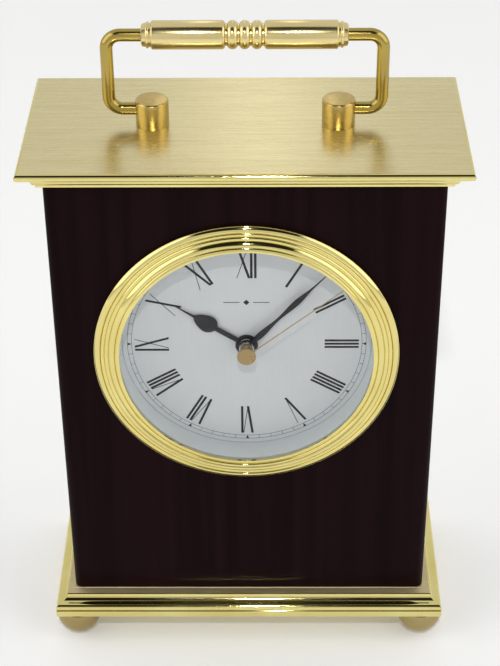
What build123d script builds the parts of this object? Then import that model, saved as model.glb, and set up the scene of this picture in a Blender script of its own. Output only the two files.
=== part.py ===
from build123d import *
import os
from math import cos, pi, radians, sin

os.makedirs("parts", exist_ok=True)

# Carriage clock: wooden case between brass mouldings, ball feet, drop handle, quartz movement.
# Millimetres. X to the right, Y to the back, Z up. The origin is on the table under the centre.

# ---------------------------------------------------------------- clearances
JOINT_PLAY = 0.05           # radial play of a shaft that turns in a bore
SEAT_PLAY = 0.05            # radial play of a loose fit that does not move
AIR = 0.4                   # least gap between faces that pass each other

# ---------------------------------------------------------------- case
CASE_WIDTH = 108.5
CASE_DEPTH = 45.9
CASE_HEIGHT = 144.0
CASE_EDGE_RADIUS = 2.5
FRONT_THICKNESS = 9.0
SIDE_THICKNESS = 8.0
BOARD_THICKNESS = 8.0
BACK_THICKNESS = 6.0

# ---------------------------------------------------------------- base
BASE_MARGIN = 5.75          # base beyond each face of the case
BASE_PLATE_THICKNESS = 2.7
BASE_PLATE_EASING = 0.3
MOULDING_HEIGHT = 4.75
MOULDING_LIP = 0.55
MOULDING_GROOVE = 0.3
NOSE_RADIUS = 1.35          # rounded edge between the lip and the cove
COVE_WIDTH = 3.5            # back of the cove from the face of the lip
COVE_HEIGHT = 2.25
COVE_MID_WIDTH = 2.9
COVE_MID_HEIGHT = 0.6
WEATHERING_WIDTH = 2.1

# ---------------------------------------------------------------- feet
FOOT_RADIUS = 6.8
FOOT_FLAT = 0.15            # height turned off the ball where it stands
FOOT_SEAT = 2.8             # ball centre below the base plate
FOOT_INSET = 6.3
FOOT_STUD_RADIUS = 1.5
FOOT_STUD_IN_FOOT = 5.0
FOOT_STUD_IN_PLATE = 2.2

# ---------------------------------------------------------------- top
TOP_OVERHANG = 6.25         # top plate beyond each face of the case
TOP_PLATE_THICKNESS = 2.2
TOP_MOULDING_HEIGHT = 4.0
TOP_MOULDING_INSET_LOW = 4.9
TOP_MOULDING_INSET_HIGH = 3.7
TOP_FILLET_LOW = 0.7
TOP_FILLET_HIGH = 3.3
OVOLO_OUT = 0.96            # middle of the ovolo, out from its foot and up from the tier's underside
OVOLO_UP = 1.65

# ---------------------------------------------------------------- handle
POST_SPACING = 50.94
POST_RADIUS = 4.55
POST_HEIGHT = 7.63
POST_EDGE = 0.35
PIVOT_HEIGHT = 4.74
PIVOT_WALL = 0.45           # metal between the bail's end and the post's screw
BAIL_RADIUS = 1.725
BAIL_SPREAD = 74.18
BAIL_BEND = 3.8
GRIP_HEIGHT = 26.49
GRIP_RADIUS = 3.875
GRIP_LENGTH = 55.1
GRIP_COLLAR_LENGTH = 2.6
GRIP_COLLAR_RADIUS = 3.2
GRIP_GROOVE_RADIUS = 3.0
GRIP_GROOVE_WIDTH = 0.35
GRIP_BEAD_COUNT = 3
GRIP_BEAD_PITCH = 3.26
GRIP_SOCKET = 6.0

# ---------------------------------------------------------------- fasteners
M3_RADIUS = 1.5
M3_HEAD_RADIUS = 2.8
M3_HEAD_HEIGHT = 2.0
M3_WASHER_RADIUS = 3.5
M3_WASHER_THICKNESS = 0.5
POST_THREAD = 5.0
HEX_SOCKET_RADIUS = 1.4
BASE_SCREW_RADIUS = 1.6
BASE_SCREW_HEAD = 3.2
BASE_SCREW_BITE = 5.5
BASE_SCREW_MARGIN_X = 6.25
BASE_SCREW_MARGIN_Y = 2.95
BACK_SCREW_RADIUS = 1.2
BACK_SCREW_HEAD = 2.4
BACK_SCREW_BITE = 9.0
BACK_SCREW_INSET = 17.28
DIAL_SCREW_RADIUS = 0.8
DIAL_SCREW_HEAD = 1.45
DIAL_SCREW_BITE = 3.4
SLOT_WIDTH = 0.5
SLOT_DEPTH = 0.5

# ---------------------------------------------------------------- clock insert
DIAL_DROP = 55.5            # clock centre below the top of the case
DIAL_SETBACK = 5.8
DIAL_THICKNESS = 1.0
BEZEL_RADIUS = 43.3
BEZEL_FLANGE = 5.3
BEZEL_PROUD = 2.9
SLEEVE_WALL = 1.1
SLEEVE_GAP = 0.2
DIAL_MARGIN = 4.0           # dial beyond the bezel's sleeve
GLASS_COVER = 1.0           # lip over the edge of the glass
REED_WIDTHS = (1.9, 1.15, 1.15, 1.8)
REED_FEET = (0.75, 1.2, 1.55, 1.85, 2.4)
REED_CROWNS = (1.65, 1.95, 2.3, 2.75)
LIP_LAND = 0.4
GLASS_THICKNESS = 1.0
GLASS_PROUD = 2.2
RING_WIDTH = 3.4
RING_THICKNESS = 2.2
RING_SCREW_COUNT = 4

# ---------------------------------------------------------------- movement
MOVEMENT_SIZE = 56.0
MOVEMENT_DEPTH = 15.5
MOVEMENT_CORNER = 4.0
MOVEMENT_WALL = 1.2
NECK_RADIUS = 3.1
EAR_REACH = 31.5
EAR_RADIUS = 3.2
EAR_THICKNESS = 1.6
DIAL_FOOT_RADIUS = 1.2
DIAL_FOOT_LENGTH = 4.6
DIAL_NUT_RADIUS = 2.4
DIAL_NUT_THICKNESS = 1.8
CELL_RADIUS = 7.25
CELL_LENGTH = 49.2
CELL_NUB_RADIUS = 2.7
CELL_NUB_LENGTH = 1.3
CELL_DEPTH = 8.55           # cell axis behind the front of the movement
CONTACT_THICKNESS = 0.4
CONTACT_HEIGHT = 8.0
SUPPORT_RADIUS = 0.9        # posts under the circuit board and the stator
BAY_WALL = 0.7
TRAIN_PLATE_DEPTH = 5.9
TRAIN_PLATE_THICKNESS = 0.5
TRAIN_PILLAR_RADIUS = 1.2
STATOR_DEPTH = 12.0
STATOR_THICKNESS = 1.0
STATOR_ARM = 3.6
ROTOR_RADIUS = 2.0
ROTOR_THICKNESS = 1.6
ROTOR_AIR = 0.5
COIL_RADIUS = 3.0
COIL_LENGTH = 15.0
COIL_CHEEK_RADIUS = 3.7
COIL_CHEEK = 0.8
COIL_RISE = 21.5            # coil axis above the clock centre
COIL_DEPTH = 9.6
CORE_RADIUS = 1.0
BOARD_THICK = 0.8
BOARD_DEPTH = 12.4

# ---------------------------------------------------------------- gear train
ADDENDUM = 0.75             # tooth above and below the pitch circle, in modules
DEDENDUM = 1.15
TOOTH_ROOT = 0.18           # half width of a tooth, as a part of its pitch
TOOTH_TIP = 0.07
WHEEL_THICKNESS = 0.8
PINION_THICKNESS = 1.1
ARBOR_RADIUS = 0.4
SECOND_ARBOR_RADIUS = 0.6
SETTING_ARBOR_RADIUS = 0.6
PINION_TEETH = 8
ROTOR_MODULE = 0.24
INTERMEDIATE_TEETH = 48
SECOND_MODULE = 0.28
SECOND_TEETH = 40
THIRD_MODULE = 0.265
THIRD_TEETH = 60
CENTRE_MODULE = 0.25
CENTRE_TEETH = 64
CANNON_TEETH = 12
MOTION_TEETH = 36
MOTION_PINION_TEETH = 10
HOUR_TEETH = 40
MOTION_DISTANCE = 9.2
CANNON_BORE = SECOND_ARBOR_RADIUS + JOINT_PLAY
CANNON_RADIUS = 1.4
HOUR_PIPE_BORE = CANNON_RADIUS + JOINT_PLAY
HOUR_PIPE_RADIUS = 2.2
HOUR_WHEEL_DEPTH = 1.6      # front faces, behind the front of the movement
MOTION_WHEEL_DEPTH = 3.1
CENTRE_WHEEL_DEPTH = 4.6
THIRD_WHEEL_DEPTH = 6.8
SECOND_WHEEL_DEPTH = 8.7
INTERMEDIATE_WHEEL_DEPTH = 10.3
ROTOR_DEPTH = 11.7
PIVOT_BITE = 0.6            # back pivots end this far inside the back of the movement
FRONT_PIVOT = 0.5
THIRD_DIRECTION = 150.0     # degrees from +X towards +Z, seen from the front
INTERMEDIATE_DIRECTION = 60.0
ROTOR_DIRECTION = 30.0
MOTION_DIRECTION = -15.0
KNOB_RADIUS = 4.0
KNOB_THICKNESS = 2.5
KNOB_FLUTES = 18
KNOB_FLUTE_RADIUS = 0.35

# ---------------------------------------------------------------- hands
HOUR_ANGLE = 303.57         # degrees clockwise from twelve
MINUTE_ANGLE = 42.84
SECOND_ANGLE = 50.6
HAND_THICKNESS = 0.25
HOUR_HAND_PROUD = 0.55      # back of the hand in front of the dial
HOUR_HAND_SHORT = 12.0      # hands short of the bezel's lip
HOUR_RING_RADIUS = 3.25
HOUR_SHAFT_HALF = 0.75
HOUR_BULB_HALF = 2.65
HOUR_WAIST_HALF = 1.01
HOUR_SHAFT_END = 10.4       # from the centre
HOUR_BULB_PLACE = 13.74
HOUR_WAIST_PLACE = 17.21
HOUR_BULB_START = (0.4, 1.0)
HOUR_TIP_RUN = (1.0, -0.05)
MINUTE_HAND_PROUD = 1.7
MINUTE_HAND_SHORT = 2.7
MINUTE_RING_RADIUS = 2.6
MINUTE_ROOT_HALF = 0.8
MINUTE_SWELL_HALF = 1.0
MINUTE_WAIST_HALF = 0.46
MINUTE_LEAF_HALF = 1.15
MINUTE_SWELL_PLACE = 6.81
MINUTE_WAIST_PLACE = 14.77
MINUTE_LEAF_PLACE = 21.25
HAND_TIP_HALF = 0.1
HAND_NUT_RADIUS = 2.15
HAND_NUT_THICKNESS = 1.1
SECOND_HAND_PROUD = 6.2
SECOND_HAND_SHORT = 1.0
SECOND_HAND_WIDTH = 0.4
SECOND_HAND_SIDE = 89.85    # slope of the needle's edges, degrees
SECOND_TUBE_RADIUS = 1.45
SECOND_TUBE_LENGTH = 2.9
SECOND_CAP_RADIUS = 2.7
SECOND_CAP_THICKNESS = 0.4

# ---------------------------------------------------------------- back door
DOOR_MARGIN_X = 11.75       # from the case's inside face to the door's edge
DOOR_MARGIN_Z = 24.5        # from the case's ends to the door's edge
DOOR_THICKNESS = 5.0
DOOR_GAP = 0.5
HINGE_LEAF = 10.0
HINGE_LENGTH = 16.0
HINGE_THICKNESS = 0.8
HINGE_INSET = 16.5          # hinge centre from the end of the door
HINGE_AXIS_OUT = 1.6
KNUCKLE_RADIUS = 1.5
KNUCKLE_GAP = 0.3
HINGE_PIN_RADIUS = 0.7
HINGE_REBATE = 1.9
DOOR_KNOB_RADIUS = 4.0
DOOR_KNOB_LENGTH = 5.8
DOOR_KNOB_NECK = 2.0
DOOR_KNOB_FOOT = 3.2
DOOR_KNOB_FOOT_LENGTH = 0.87
DOOR_KNOB_NECK_PLACE = 1.45
DOOR_KNOB_WIDEST = 3.94
DOOR_KNOB_INSET = 7.5
MAGNET_WIDTH = 8.0
MAGNET_HEIGHT = 14.0
MAGNET_DEPTH = 4.0
STRIKE_THICKNESS = 0.6
STRIKE_MARGIN = 1.0
MAGNET_FOOT = 7.0

# ---------------------------------------------------------------- levels and planes
BASE_WIDTH = CASE_WIDTH + 2 * BASE_MARGIN
BASE_DEPTH = CASE_DEPTH + 2 * BASE_MARGIN
TOP_WIDTH = CASE_WIDTH + 2 * TOP_OVERHANG
TOP_DEPTH = CASE_DEPTH + 2 * TOP_OVERHANG
PLATE_Z = FOOT_RADIUS - FOOT_FLAT + FOOT_SEAT
MOULDING_Z = PLATE_Z + BASE_PLATE_THICKNESS
CASE_Z = MOULDING_Z + MOULDING_HEIGHT
CASE_TOP_Z = CASE_Z + CASE_HEIGHT
TOP_PLATE_Z = CASE_TOP_Z + TOP_MOULDING_HEIGHT
TOP_Z = TOP_PLATE_Z + TOP_PLATE_THICKNESS
PIVOT_Z = TOP_Z + PIVOT_HEIGHT
GRIP_Z = TOP_Z + GRIP_HEIGHT
CENTRE_Z = CASE_TOP_Z - DIAL_DROP
FRONT_Y = -CASE_DEPTH / 2
BACK_Y = CASE_DEPTH / 2
FRONT_INNER_Y = FRONT_Y + FRONT_THICKNESS
BACK_INNER_Y = BACK_Y - BACK_THICKNESS
DIAL_Y = FRONT_Y + DIAL_SETBACK
MOVEMENT_Y = DIAL_Y + DIAL_THICKNESS
INNER_X = CASE_WIDTH / 2 - SIDE_THICKNESS
FOOT_X = BASE_WIDTH / 2 - FOOT_INSET
FOOT_Y = BASE_DEPTH / 2 - FOOT_INSET
POST_X = POST_SPACING / 2
SLEEVE_RADIUS = BEZEL_RADIUS - BEZEL_FLANGE
SLEEVE_BORE = SLEEVE_RADIUS - SLEEVE_WALL
BEZEL_LIP_RADIUS = SLEEVE_BORE - GLASS_COVER
DIAL_RADIUS = SLEEVE_RADIUS + DIAL_MARGIN
RING_BORE = DIAL_RADIUS - RING_WIDTH
HOUR_HAND_LENGTH = BEZEL_LIP_RADIUS - HOUR_HAND_SHORT
MINUTE_HAND_LENGTH = BEZEL_LIP_RADIUS - MINUTE_HAND_SHORT
SECOND_HAND_LENGTH = BEZEL_LIP_RADIUS - SECOND_HAND_SHORT
PIVOT_END = MOVEMENT_DEPTH - PIVOT_BITE
BASE_SCREW_X = INNER_X - BASE_SCREW_MARGIN_X
BASE_SCREW_Y = -FRONT_INNER_Y - BASE_SCREW_MARGIN_Y
DOOR_WIDTH = 2 * (INNER_X - DOOR_MARGIN_X)
DOOR_HEIGHT = CASE_HEIGHT - 2 * DOOR_MARGIN_Z
DOOR_RISE = (CASE_Z + CASE_TOP_Z) / 2


def depth(behind):
    """Y of a face that lies this far behind the front of the movement."""
    return MOVEMENT_Y + behind


def facing(y, x=0.0, rise=0.0, turn=0.0):
    """Plane that faces the front at depth y; turn swings its X clockwise from twelve."""
    aim = (sin(radians(turn)), 0, cos(radians(turn))) if turn else (1, 0, 0)
    return Plane((x, y, CENTRE_Z + rise), x_dir=aim, z_dir=(0, -1, 0))


def block(x_low, x_high, y_low, y_high, z_low, z_high, mode=Mode.ADD):
    """Box between two corners."""
    middle = ((x_low + x_high) / 2, (y_low + y_high) / 2, (z_low + z_high) / 2)
    with Locations(middle):
        Box(x_high - x_low, y_high - y_low, z_high - z_low, mode=mode)


def rod(radius, y_front, y_back, x=0.0, rise=0.0, mode=Mode.ADD):
    """Round bar along Y between two depths."""
    with BuildSketch(facing(y_back, x, rise)) as section:
        Circle(radius)
    extrude(section.sketch, amount=y_back - y_front, mode=mode)


def upright(radius, z_low, z_high, x, y, mode=Mode.ADD):
    """Round bar along Z between two heights."""
    with BuildSketch(Plane((x, y, z_low))) as section:
        Circle(radius)
    extrude(section.sketch, amount=z_high - z_low, mode=mode)


def crossbar(radius, x_low, x_high, y, z, mode=Mode.ADD):
    """Round bar along X between two places."""
    with BuildSketch(Plane((x_low, y, z), x_dir=(0, 1, 0), z_dir=(1, 0, 0))) as section:
        Circle(radius)
    extrude(section.sketch, amount=x_high - x_low, mode=mode)


def countersunk_screw(plane, shank_radius, head_radius, length):
    """Slotted screw whose head lies in the plane and whose shank follows its normal."""
    with BuildSketch(plane) as head:
        Circle(head_radius)
    extrude(head.sketch, amount=head_radius - shank_radius, taper=45)
    with BuildSketch(plane) as shank:
        Circle(shank_radius)
    extrude(shank.sketch, amount=length)
    with BuildSketch(plane) as slot:
        Rectangle(2 * head_radius, SLOT_WIDTH)
    extrude(slot.sketch, amount=SLOT_DEPTH, mode=Mode.SUBTRACT)


def countersunk_hole(plane, shank_radius, head_radius, length):
    """Hole that a countersunk screw fills."""
    with BuildSketch(plane) as head:
        Circle(head_radius + SEAT_PLAY)
    extrude(head.sketch, amount=head_radius - shank_radius, taper=45, mode=Mode.SUBTRACT)
    with BuildSketch(plane) as shank:
        Circle(shank_radius + SEAT_PLAY)
    extrude(shank.sketch, amount=length, mode=Mode.SUBTRACT)


def moulded_slab(outline, width, length):
    """Slab with the same moulding on its four edges, mitred at the corners."""
    with BuildSketch(Plane.XZ) as across:
        outline(width / 2)
        mirror(about=Plane.YZ)
    with BuildSketch(Plane.YZ) as along:
        outline(length / 2)
        mirror(about=Plane.YZ)
    extrude(across.sketch, amount=length, both=True)
    extrude(along.sketch, amount=width, both=True, mode=Mode.INTERSECT)


def base_screw_places():
    """Centres of the screws that hold the base to the case."""
    return GridLocations(2 * BASE_SCREW_X, 2 * BASE_SCREW_Y, 2, 2).locations


# ================================================================ base
def base_plate_outline(half):
    """Right half of the base plate's section: a square edge, slightly eased."""
    low, high, ease = PLATE_Z, MOULDING_Z, BASE_PLATE_EASING
    with BuildLine() as edge:
        Polyline((0, low), (half - ease, low), (half, low + ease), (half, high - ease),
                 (half - ease, high), (0, high), close=True)
    make_face(edge.edges())


def base_moulding_outline(half):
    """Right half of the base moulding's section: a lip, a round nose, a cove and a weathered top."""
    low, high = MOULDING_Z, CASE_Z
    lip = low + MOULDING_LIP
    floor = lip + NOSE_RADIUS
    shoulder = floor + COVE_HEIGHT
    with BuildLine() as edge:
        Polyline((0, high), (0, low), (half - MOULDING_GROOVE, low), (half, low + MOULDING_GROOVE),
                 (half, lip))
        RadiusArc((half, lip), (half - NOSE_RADIUS, floor), -NOSE_RADIUS)
        ThreePointArc((half - NOSE_RADIUS, floor), (half - COVE_MID_WIDTH, floor + COVE_MID_HEIGHT),
                      (half - COVE_WIDTH, shoulder))
        Polyline((half - COVE_WIDTH, shoulder), (half - COVE_WIDTH - WEATHERING_WIDTH, high), (0, high))
    make_face(edge.edges())


with BuildPart() as base_plate:
    moulded_slab(base_plate_outline, BASE_WIDTH, BASE_DEPTH)
    for side in (-1, 1):
        for end in (-1, 1):
            upright(FOOT_STUD_RADIUS, PLATE_Z, PLATE_Z + FOOT_STUD_IN_PLATE, side * FOOT_X, end * FOOT_Y,
                    mode=Mode.SUBTRACT)
    for place in base_screw_places():
        spot = Plane((place.position.X, place.position.Y, PLATE_Z))
        countersunk_hole(spot, BASE_SCREW_RADIUS, BASE_SCREW_HEAD, BASE_PLATE_THICKNESS)
base_plate.part.label = "base_plate"
export_step(base_plate.part, "parts/base_plate.step")

with BuildPart() as base_moulding:
    moulded_slab(base_moulding_outline, BASE_WIDTH, BASE_DEPTH)
    for place in base_screw_places():
        upright(BASE_SCREW_RADIUS + SEAT_PLAY, MOULDING_Z, CASE_Z, place.position.X, place.position.Y,
                mode=Mode.SUBTRACT)
base_moulding.part.label = "base_moulding"
export_step(base_moulding.part, "parts/base_moulding.step")

BASE_SCREW_LENGTH = CASE_Z - PLATE_Z + BASE_SCREW_BITE
with BuildPart() as base_screws:
    for place in base_screw_places():
        spot = Plane((place.position.X, place.position.Y, PLATE_Z))
        countersunk_screw(spot, BASE_SCREW_RADIUS, BASE_SCREW_HEAD, BASE_SCREW_LENGTH)
base_screws.part.label = "base_screws"
export_step(base_screws.part, "parts/base_screws.step")

# ---------------------------------------------------------------- feet
FOOT_CENTRE_Z = FOOT_RADIUS - FOOT_FLAT
for end_name, end in (("front", -1), ("back", 1)):
    for side_name, side in (("left", -1), ("right", 1)):
        with BuildPart() as foot:
            with Locations((side * FOOT_X, end * FOOT_Y, FOOT_CENTRE_Z)):
                Sphere(FOOT_RADIUS)
            split(bisect_by=Plane.XY.offset(PLATE_Z), keep=Keep.BOTTOM)
            split(bisect_by=Plane.XY, keep=Keep.TOP)
            upright(FOOT_STUD_RADIUS, PLATE_Z - FOOT_STUD_IN_FOOT, PLATE_Z, side * FOOT_X, end * FOOT_Y,
                    mode=Mode.SUBTRACT)
        foot.part.label = f"foot_{end_name}_{side_name}"
        export_step(foot.part, f"parts/foot_{end_name}_{side_name}.step")

with BuildPart() as foot_studs:
    for side in (-1, 1):
        for end in (-1, 1):
            upright(FOOT_STUD_RADIUS, PLATE_Z - FOOT_STUD_IN_FOOT, PLATE_Z + FOOT_STUD_IN_PLATE,
                    side * FOOT_X, end * FOOT_Y)
foot_studs.part.label = "foot_studs"
export_step(foot_studs.part, "parts/foot_studs.step")

# ================================================================ case
RING_SCREW_CIRCLE = (RING_BORE + DIAL_RADIUS) / 2
RING_BACK_Y = MOVEMENT_Y + RING_THICKNESS
DIAL_SCREW_LENGTH = RING_THICKNESS + DIAL_THICKNESS + DIAL_SCREW_BITE
RING_SCREW_ANGLES = [360 * (n + 0.5) / RING_SCREW_COUNT for n in range(RING_SCREW_COUNT)]


def ring_screw_plane(angle, y):
    """Plane of a retaining screw's head, on its pitch circle."""
    turn = radians(angle)
    return facing(y, RING_SCREW_CIRCLE * cos(turn), RING_SCREW_CIRCLE * sin(turn))


with BuildPart() as front_panel:
    block(-CASE_WIDTH / 2, CASE_WIDTH / 2, FRONT_Y, FRONT_INNER_Y, CASE_Z, CASE_TOP_Z)
    fillet(front_panel.edges().filter_by(Axis.Z).group_by(Axis.Y)[0], radius=CASE_EDGE_RADIUS)
    rod(SLEEVE_RADIUS + SEAT_PLAY, FRONT_Y, FRONT_INNER_Y, mode=Mode.SUBTRACT)
    rod(DIAL_RADIUS + SEAT_PLAY, DIAL_Y, FRONT_INNER_Y, mode=Mode.SUBTRACT)
    for angle in RING_SCREW_ANGLES:
        with BuildSketch(ring_screw_plane(angle, DIAL_Y)) as pilot:
            Circle(DIAL_SCREW_RADIUS)
        extrude(pilot.sketch, amount=DIAL_SCREW_BITE, mode=Mode.SUBTRACT)
front_panel.part.label = "front_panel"
export_step(front_panel.part, "parts/front_panel.step")

BACK_SCREW_X = CASE_WIDTH / 2 - SIDE_THICKNESS / 2
BACK_SCREW_Z = (CASE_Z + BACK_SCREW_INSET, CASE_TOP_Z - BACK_SCREW_INSET)
for side_name, side in (("left", -1), ("right", 1)):
    with BuildPart() as side_panel:
        outer, inner = side * CASE_WIDTH / 2, side * INNER_X
        block(min(outer, inner), max(outer, inner), FRONT_INNER_Y, BACK_INNER_Y, CASE_Z, CASE_TOP_Z)
        for z in BACK_SCREW_Z:
            with BuildSketch(facing(BACK_INNER_Y, side * BACK_SCREW_X, z - CENTRE_Z)) as pilot:
                Circle(BACK_SCREW_RADIUS)
            extrude(pilot.sketch, amount=BACK_SCREW_BITE, mode=Mode.SUBTRACT)
    side_panel.part.label = f"side_panel_{side_name}"
    export_step(side_panel.part, f"parts/side_panel_{side_name}.step")

with BuildPart() as case_bottom_board:
    block(-INNER_X, INNER_X, FRONT_INNER_Y, BACK_INNER_Y, CASE_Z, CASE_Z + BOARD_THICKNESS)
    for place in base_screw_places():
        upright(BASE_SCREW_RADIUS, CASE_Z, CASE_Z + BASE_SCREW_BITE, place.position.X, place.position.Y,
                mode=Mode.SUBTRACT)
case_bottom_board.part.label = "case_bottom_board"
export_step(case_bottom_board.part, "parts/case_bottom_board.step")

with BuildPart() as case_top_board:
    block(-INNER_X, INNER_X, FRONT_INNER_Y, BACK_INNER_Y, CASE_TOP_Z - BOARD_THICKNESS, CASE_TOP_Z)
    for side in (-1, 1):
        upright(M3_RADIUS + SEAT_PLAY, CASE_TOP_Z - BOARD_THICKNESS, CASE_TOP_Z, side * POST_X, 0,
                mode=Mode.SUBTRACT)
case_top_board.part.label = "case_top_board"
export_step(case_top_board.part, "parts/case_top_board.step")

OPENING_X = DOOR_WIDTH / 2 + DOOR_GAP
OPENING_LOW = DOOR_RISE - DOOR_HEIGHT / 2 - DOOR_GAP
OPENING_HIGH = DOOR_RISE + DOOR_HEIGHT / 2 + DOOR_GAP
BACK_SCREW_LENGTH = BACK_THICKNESS + BACK_SCREW_BITE
with BuildPart() as back_frame:
    block(-CASE_WIDTH / 2, CASE_WIDTH / 2, BACK_INNER_Y, BACK_Y, CASE_Z, CASE_TOP_Z)
    block(-OPENING_X, OPENING_X, BACK_INNER_Y, BACK_Y, OPENING_LOW, OPENING_HIGH, mode=Mode.SUBTRACT)
    for side in (-1, 1):
        for z in BACK_SCREW_Z:
            spot = facing(BACK_Y, side * BACK_SCREW_X, z - CENTRE_Z)
            countersunk_hole(spot, BACK_SCREW_RADIUS, BACK_SCREW_HEAD, BACK_THICKNESS)
back_frame.part.label = "back_frame"
export_step(back_frame.part, "parts/back_frame.step")

with BuildPart() as back_frame_screws:
    for side in (-1, 1):
        for z in BACK_SCREW_Z:
            spot = facing(BACK_Y, side * BACK_SCREW_X, z - CENTRE_Z)
            countersunk_screw(spot, BACK_SCREW_RADIUS, BACK_SCREW_HEAD, BACK_SCREW_LENGTH)
back_frame_screws.part.label = "back_frame_screws"
export_step(back_frame_screws.part, "parts/back_frame_screws.step")


# ================================================================ top
def top_moulding_outline(half):
    """Right half of the lower tier's section: an ovolo that leans out towards the top plate."""
    low, high = CASE_TOP_Z, TOP_PLATE_Z
    foot_x, head_x = half - TOP_MOULDING_INSET_LOW, half - TOP_MOULDING_INSET_HIGH
    with BuildLine() as edge:
        Polyline((0, high), (0, low), (foot_x, low), (foot_x, low + TOP_FILLET_LOW))
        ThreePointArc((foot_x, low + TOP_FILLET_LOW), (foot_x + OVOLO_OUT, low + OVOLO_UP),
                      (head_x, low + TOP_FILLET_HIGH))
        Polyline((head_x, low + TOP_FILLET_HIGH), (head_x, high), (0, high))
    make_face(edge.edges())


def top_plate_outline(half):
    """Right half of the top plate's section: a full round edge."""
    low, high = TOP_PLATE_Z, TOP_Z
    nose = TOP_PLATE_THICKNESS / 2
    with BuildLine() as edge:
        Polyline((0, high), (0, low), (half - nose, low))
        ThreePointArc((half - nose, low), (half, low + nose), (half - nose, high))
        Line((half - nose, high), (0, high))
    make_face(edge.edges())


with BuildPart() as top_moulding:
    moulded_slab(top_moulding_outline, TOP_WIDTH, TOP_DEPTH)
    for side in (-1, 1):
        upright(M3_RADIUS + SEAT_PLAY, CASE_TOP_Z, TOP_PLATE_Z, side * POST_X, 0, mode=Mode.SUBTRACT)
top_moulding.part.label = "top_moulding"
export_step(top_moulding.part, "parts/top_moulding.step")

with BuildPart() as top_plate:
    moulded_slab(top_plate_outline, TOP_WIDTH, TOP_DEPTH)
    for side in (-1, 1):
        upright(M3_RADIUS + SEAT_PLAY, TOP_PLATE_Z, TOP_Z, side * POST_X, 0, mode=Mode.SUBTRACT)
top_plate.part.label = "top_plate"
export_step(top_plate.part, "parts/top_plate.step")

# ---------------------------------------------------------------- handle posts
PIVOT_MOUTH_X = POST_X + POST_RADIUS
BAIL_END_X = POST_X + M3_RADIUS + PIVOT_WALL
PIVOT_FLOOR_X = BAIL_END_X - AIR / 2
for side_name, side in (("left", -1), ("right", 1)):
    with BuildPart() as handle_post:
        upright(POST_RADIUS, TOP_Z, TOP_Z + POST_HEIGHT, side * POST_X, 0)
        chamfer(handle_post.edges().group_by(Axis.Z)[-1], length=POST_EDGE)
        reach = sorted((side * PIVOT_FLOOR_X, side * (PIVOT_MOUTH_X + POST_RADIUS)))
        crossbar(BAIL_RADIUS + JOINT_PLAY, reach[0], reach[1], 0, PIVOT_Z, mode=Mode.SUBTRACT)
        upright(M3_RADIUS, TOP_Z, TOP_Z + POST_THREAD, side * POST_X, 0, mode=Mode.SUBTRACT)
    handle_post.part.label = f"handle_post_{side_name}"
    export_step(handle_post.part, f"parts/handle_post_{side_name}.step")

POST_SCREW_Z = CASE_TOP_Z - BOARD_THICKNESS - M3_WASHER_THICKNESS
with BuildPart() as handle_post_screws:
    for side in (-1, 1):
        upright(M3_RADIUS, POST_SCREW_Z, TOP_Z + POST_THREAD, side * POST_X, 0)
        upright(M3_WASHER_RADIUS, POST_SCREW_Z, POST_SCREW_Z + M3_WASHER_THICKNESS, side * POST_X, 0)
        upright(M3_HEAD_RADIUS, POST_SCREW_Z - M3_HEAD_HEIGHT, POST_SCREW_Z, side * POST_X, 0)
        with BuildSketch(Plane((side * POST_X, 0, POST_SCREW_Z - M3_HEAD_HEIGHT))) as socket:
            RegularPolygon(HEX_SOCKET_RADIUS, side_count=6)
        extrude(socket.sketch, amount=M3_HEAD_HEIGHT / 2, mode=Mode.SUBTRACT)
handle_post_screws.part.label = "handle_post_screws"
export_step(handle_post_screws.part, "parts/handle_post_screws.step")

# ---------------------------------------------------------------- drop handle
BAIL_X = BAIL_SPREAD / 2
for side_name, side in (("left", -1), ("right", 1)):
    with BuildPart() as bail_arm:
        start = (side * BAIL_END_X, 0, PIVOT_Z)
        low_corner = (side * BAIL_X, 0, PIVOT_Z)
        high_corner = (side * BAIL_X, 0, GRIP_Z)
        finish = (side * (GRIP_LENGTH / 2 - GRIP_SOCKET), 0, GRIP_Z)
        with BuildLine() as bail_route:
            FilletPolyline(start, low_corner, high_corner, finish, radius=BAIL_BEND)
        with BuildSketch(Plane(start, x_dir=(0, 1, 0), z_dir=(side, 0, 0))) as bail_section:
            Circle(BAIL_RADIUS)
        sweep(path=bail_route.wires()[0])
    bail_arm.part.label = f"bail_arm_{side_name}"
    export_step(bail_arm.part, f"parts/bail_arm_{side_name}.step")

BEAD_BAND = GRIP_BEAD_COUNT * GRIP_BEAD_PITCH


def grip_outline():
    """Half section of the turned grip, from its middle out to the end collar."""
    with BuildLine() as edge:
        Polyline((0, GRIP_RADIUS), (0, 0), (GRIP_LENGTH / 2, 0),
                 (GRIP_LENGTH / 2, GRIP_COLLAR_RADIUS - POST_EDGE),
                 (GRIP_LENGTH / 2 - POST_EDGE, GRIP_COLLAR_RADIUS))
        barrel_end = GRIP_LENGTH / 2 - GRIP_COLLAR_LENGTH
        Polyline((GRIP_LENGTH / 2 - POST_EDGE, GRIP_COLLAR_RADIUS),
                 (barrel_end + GRIP_COLLAR_LENGTH / 2, GRIP_COLLAR_RADIUS),
                 (barrel_end + GRIP_GROOVE_WIDTH, (GRIP_COLLAR_RADIUS + GRIP_RADIUS) / 2),
                 (barrel_end, GRIP_GROOVE_RADIUS), (barrel_end, GRIP_RADIUS - POST_EDGE),
                 (barrel_end - POST_EDGE, GRIP_RADIUS), (0, GRIP_RADIUS))
    make_face(edge.edges())


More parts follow.
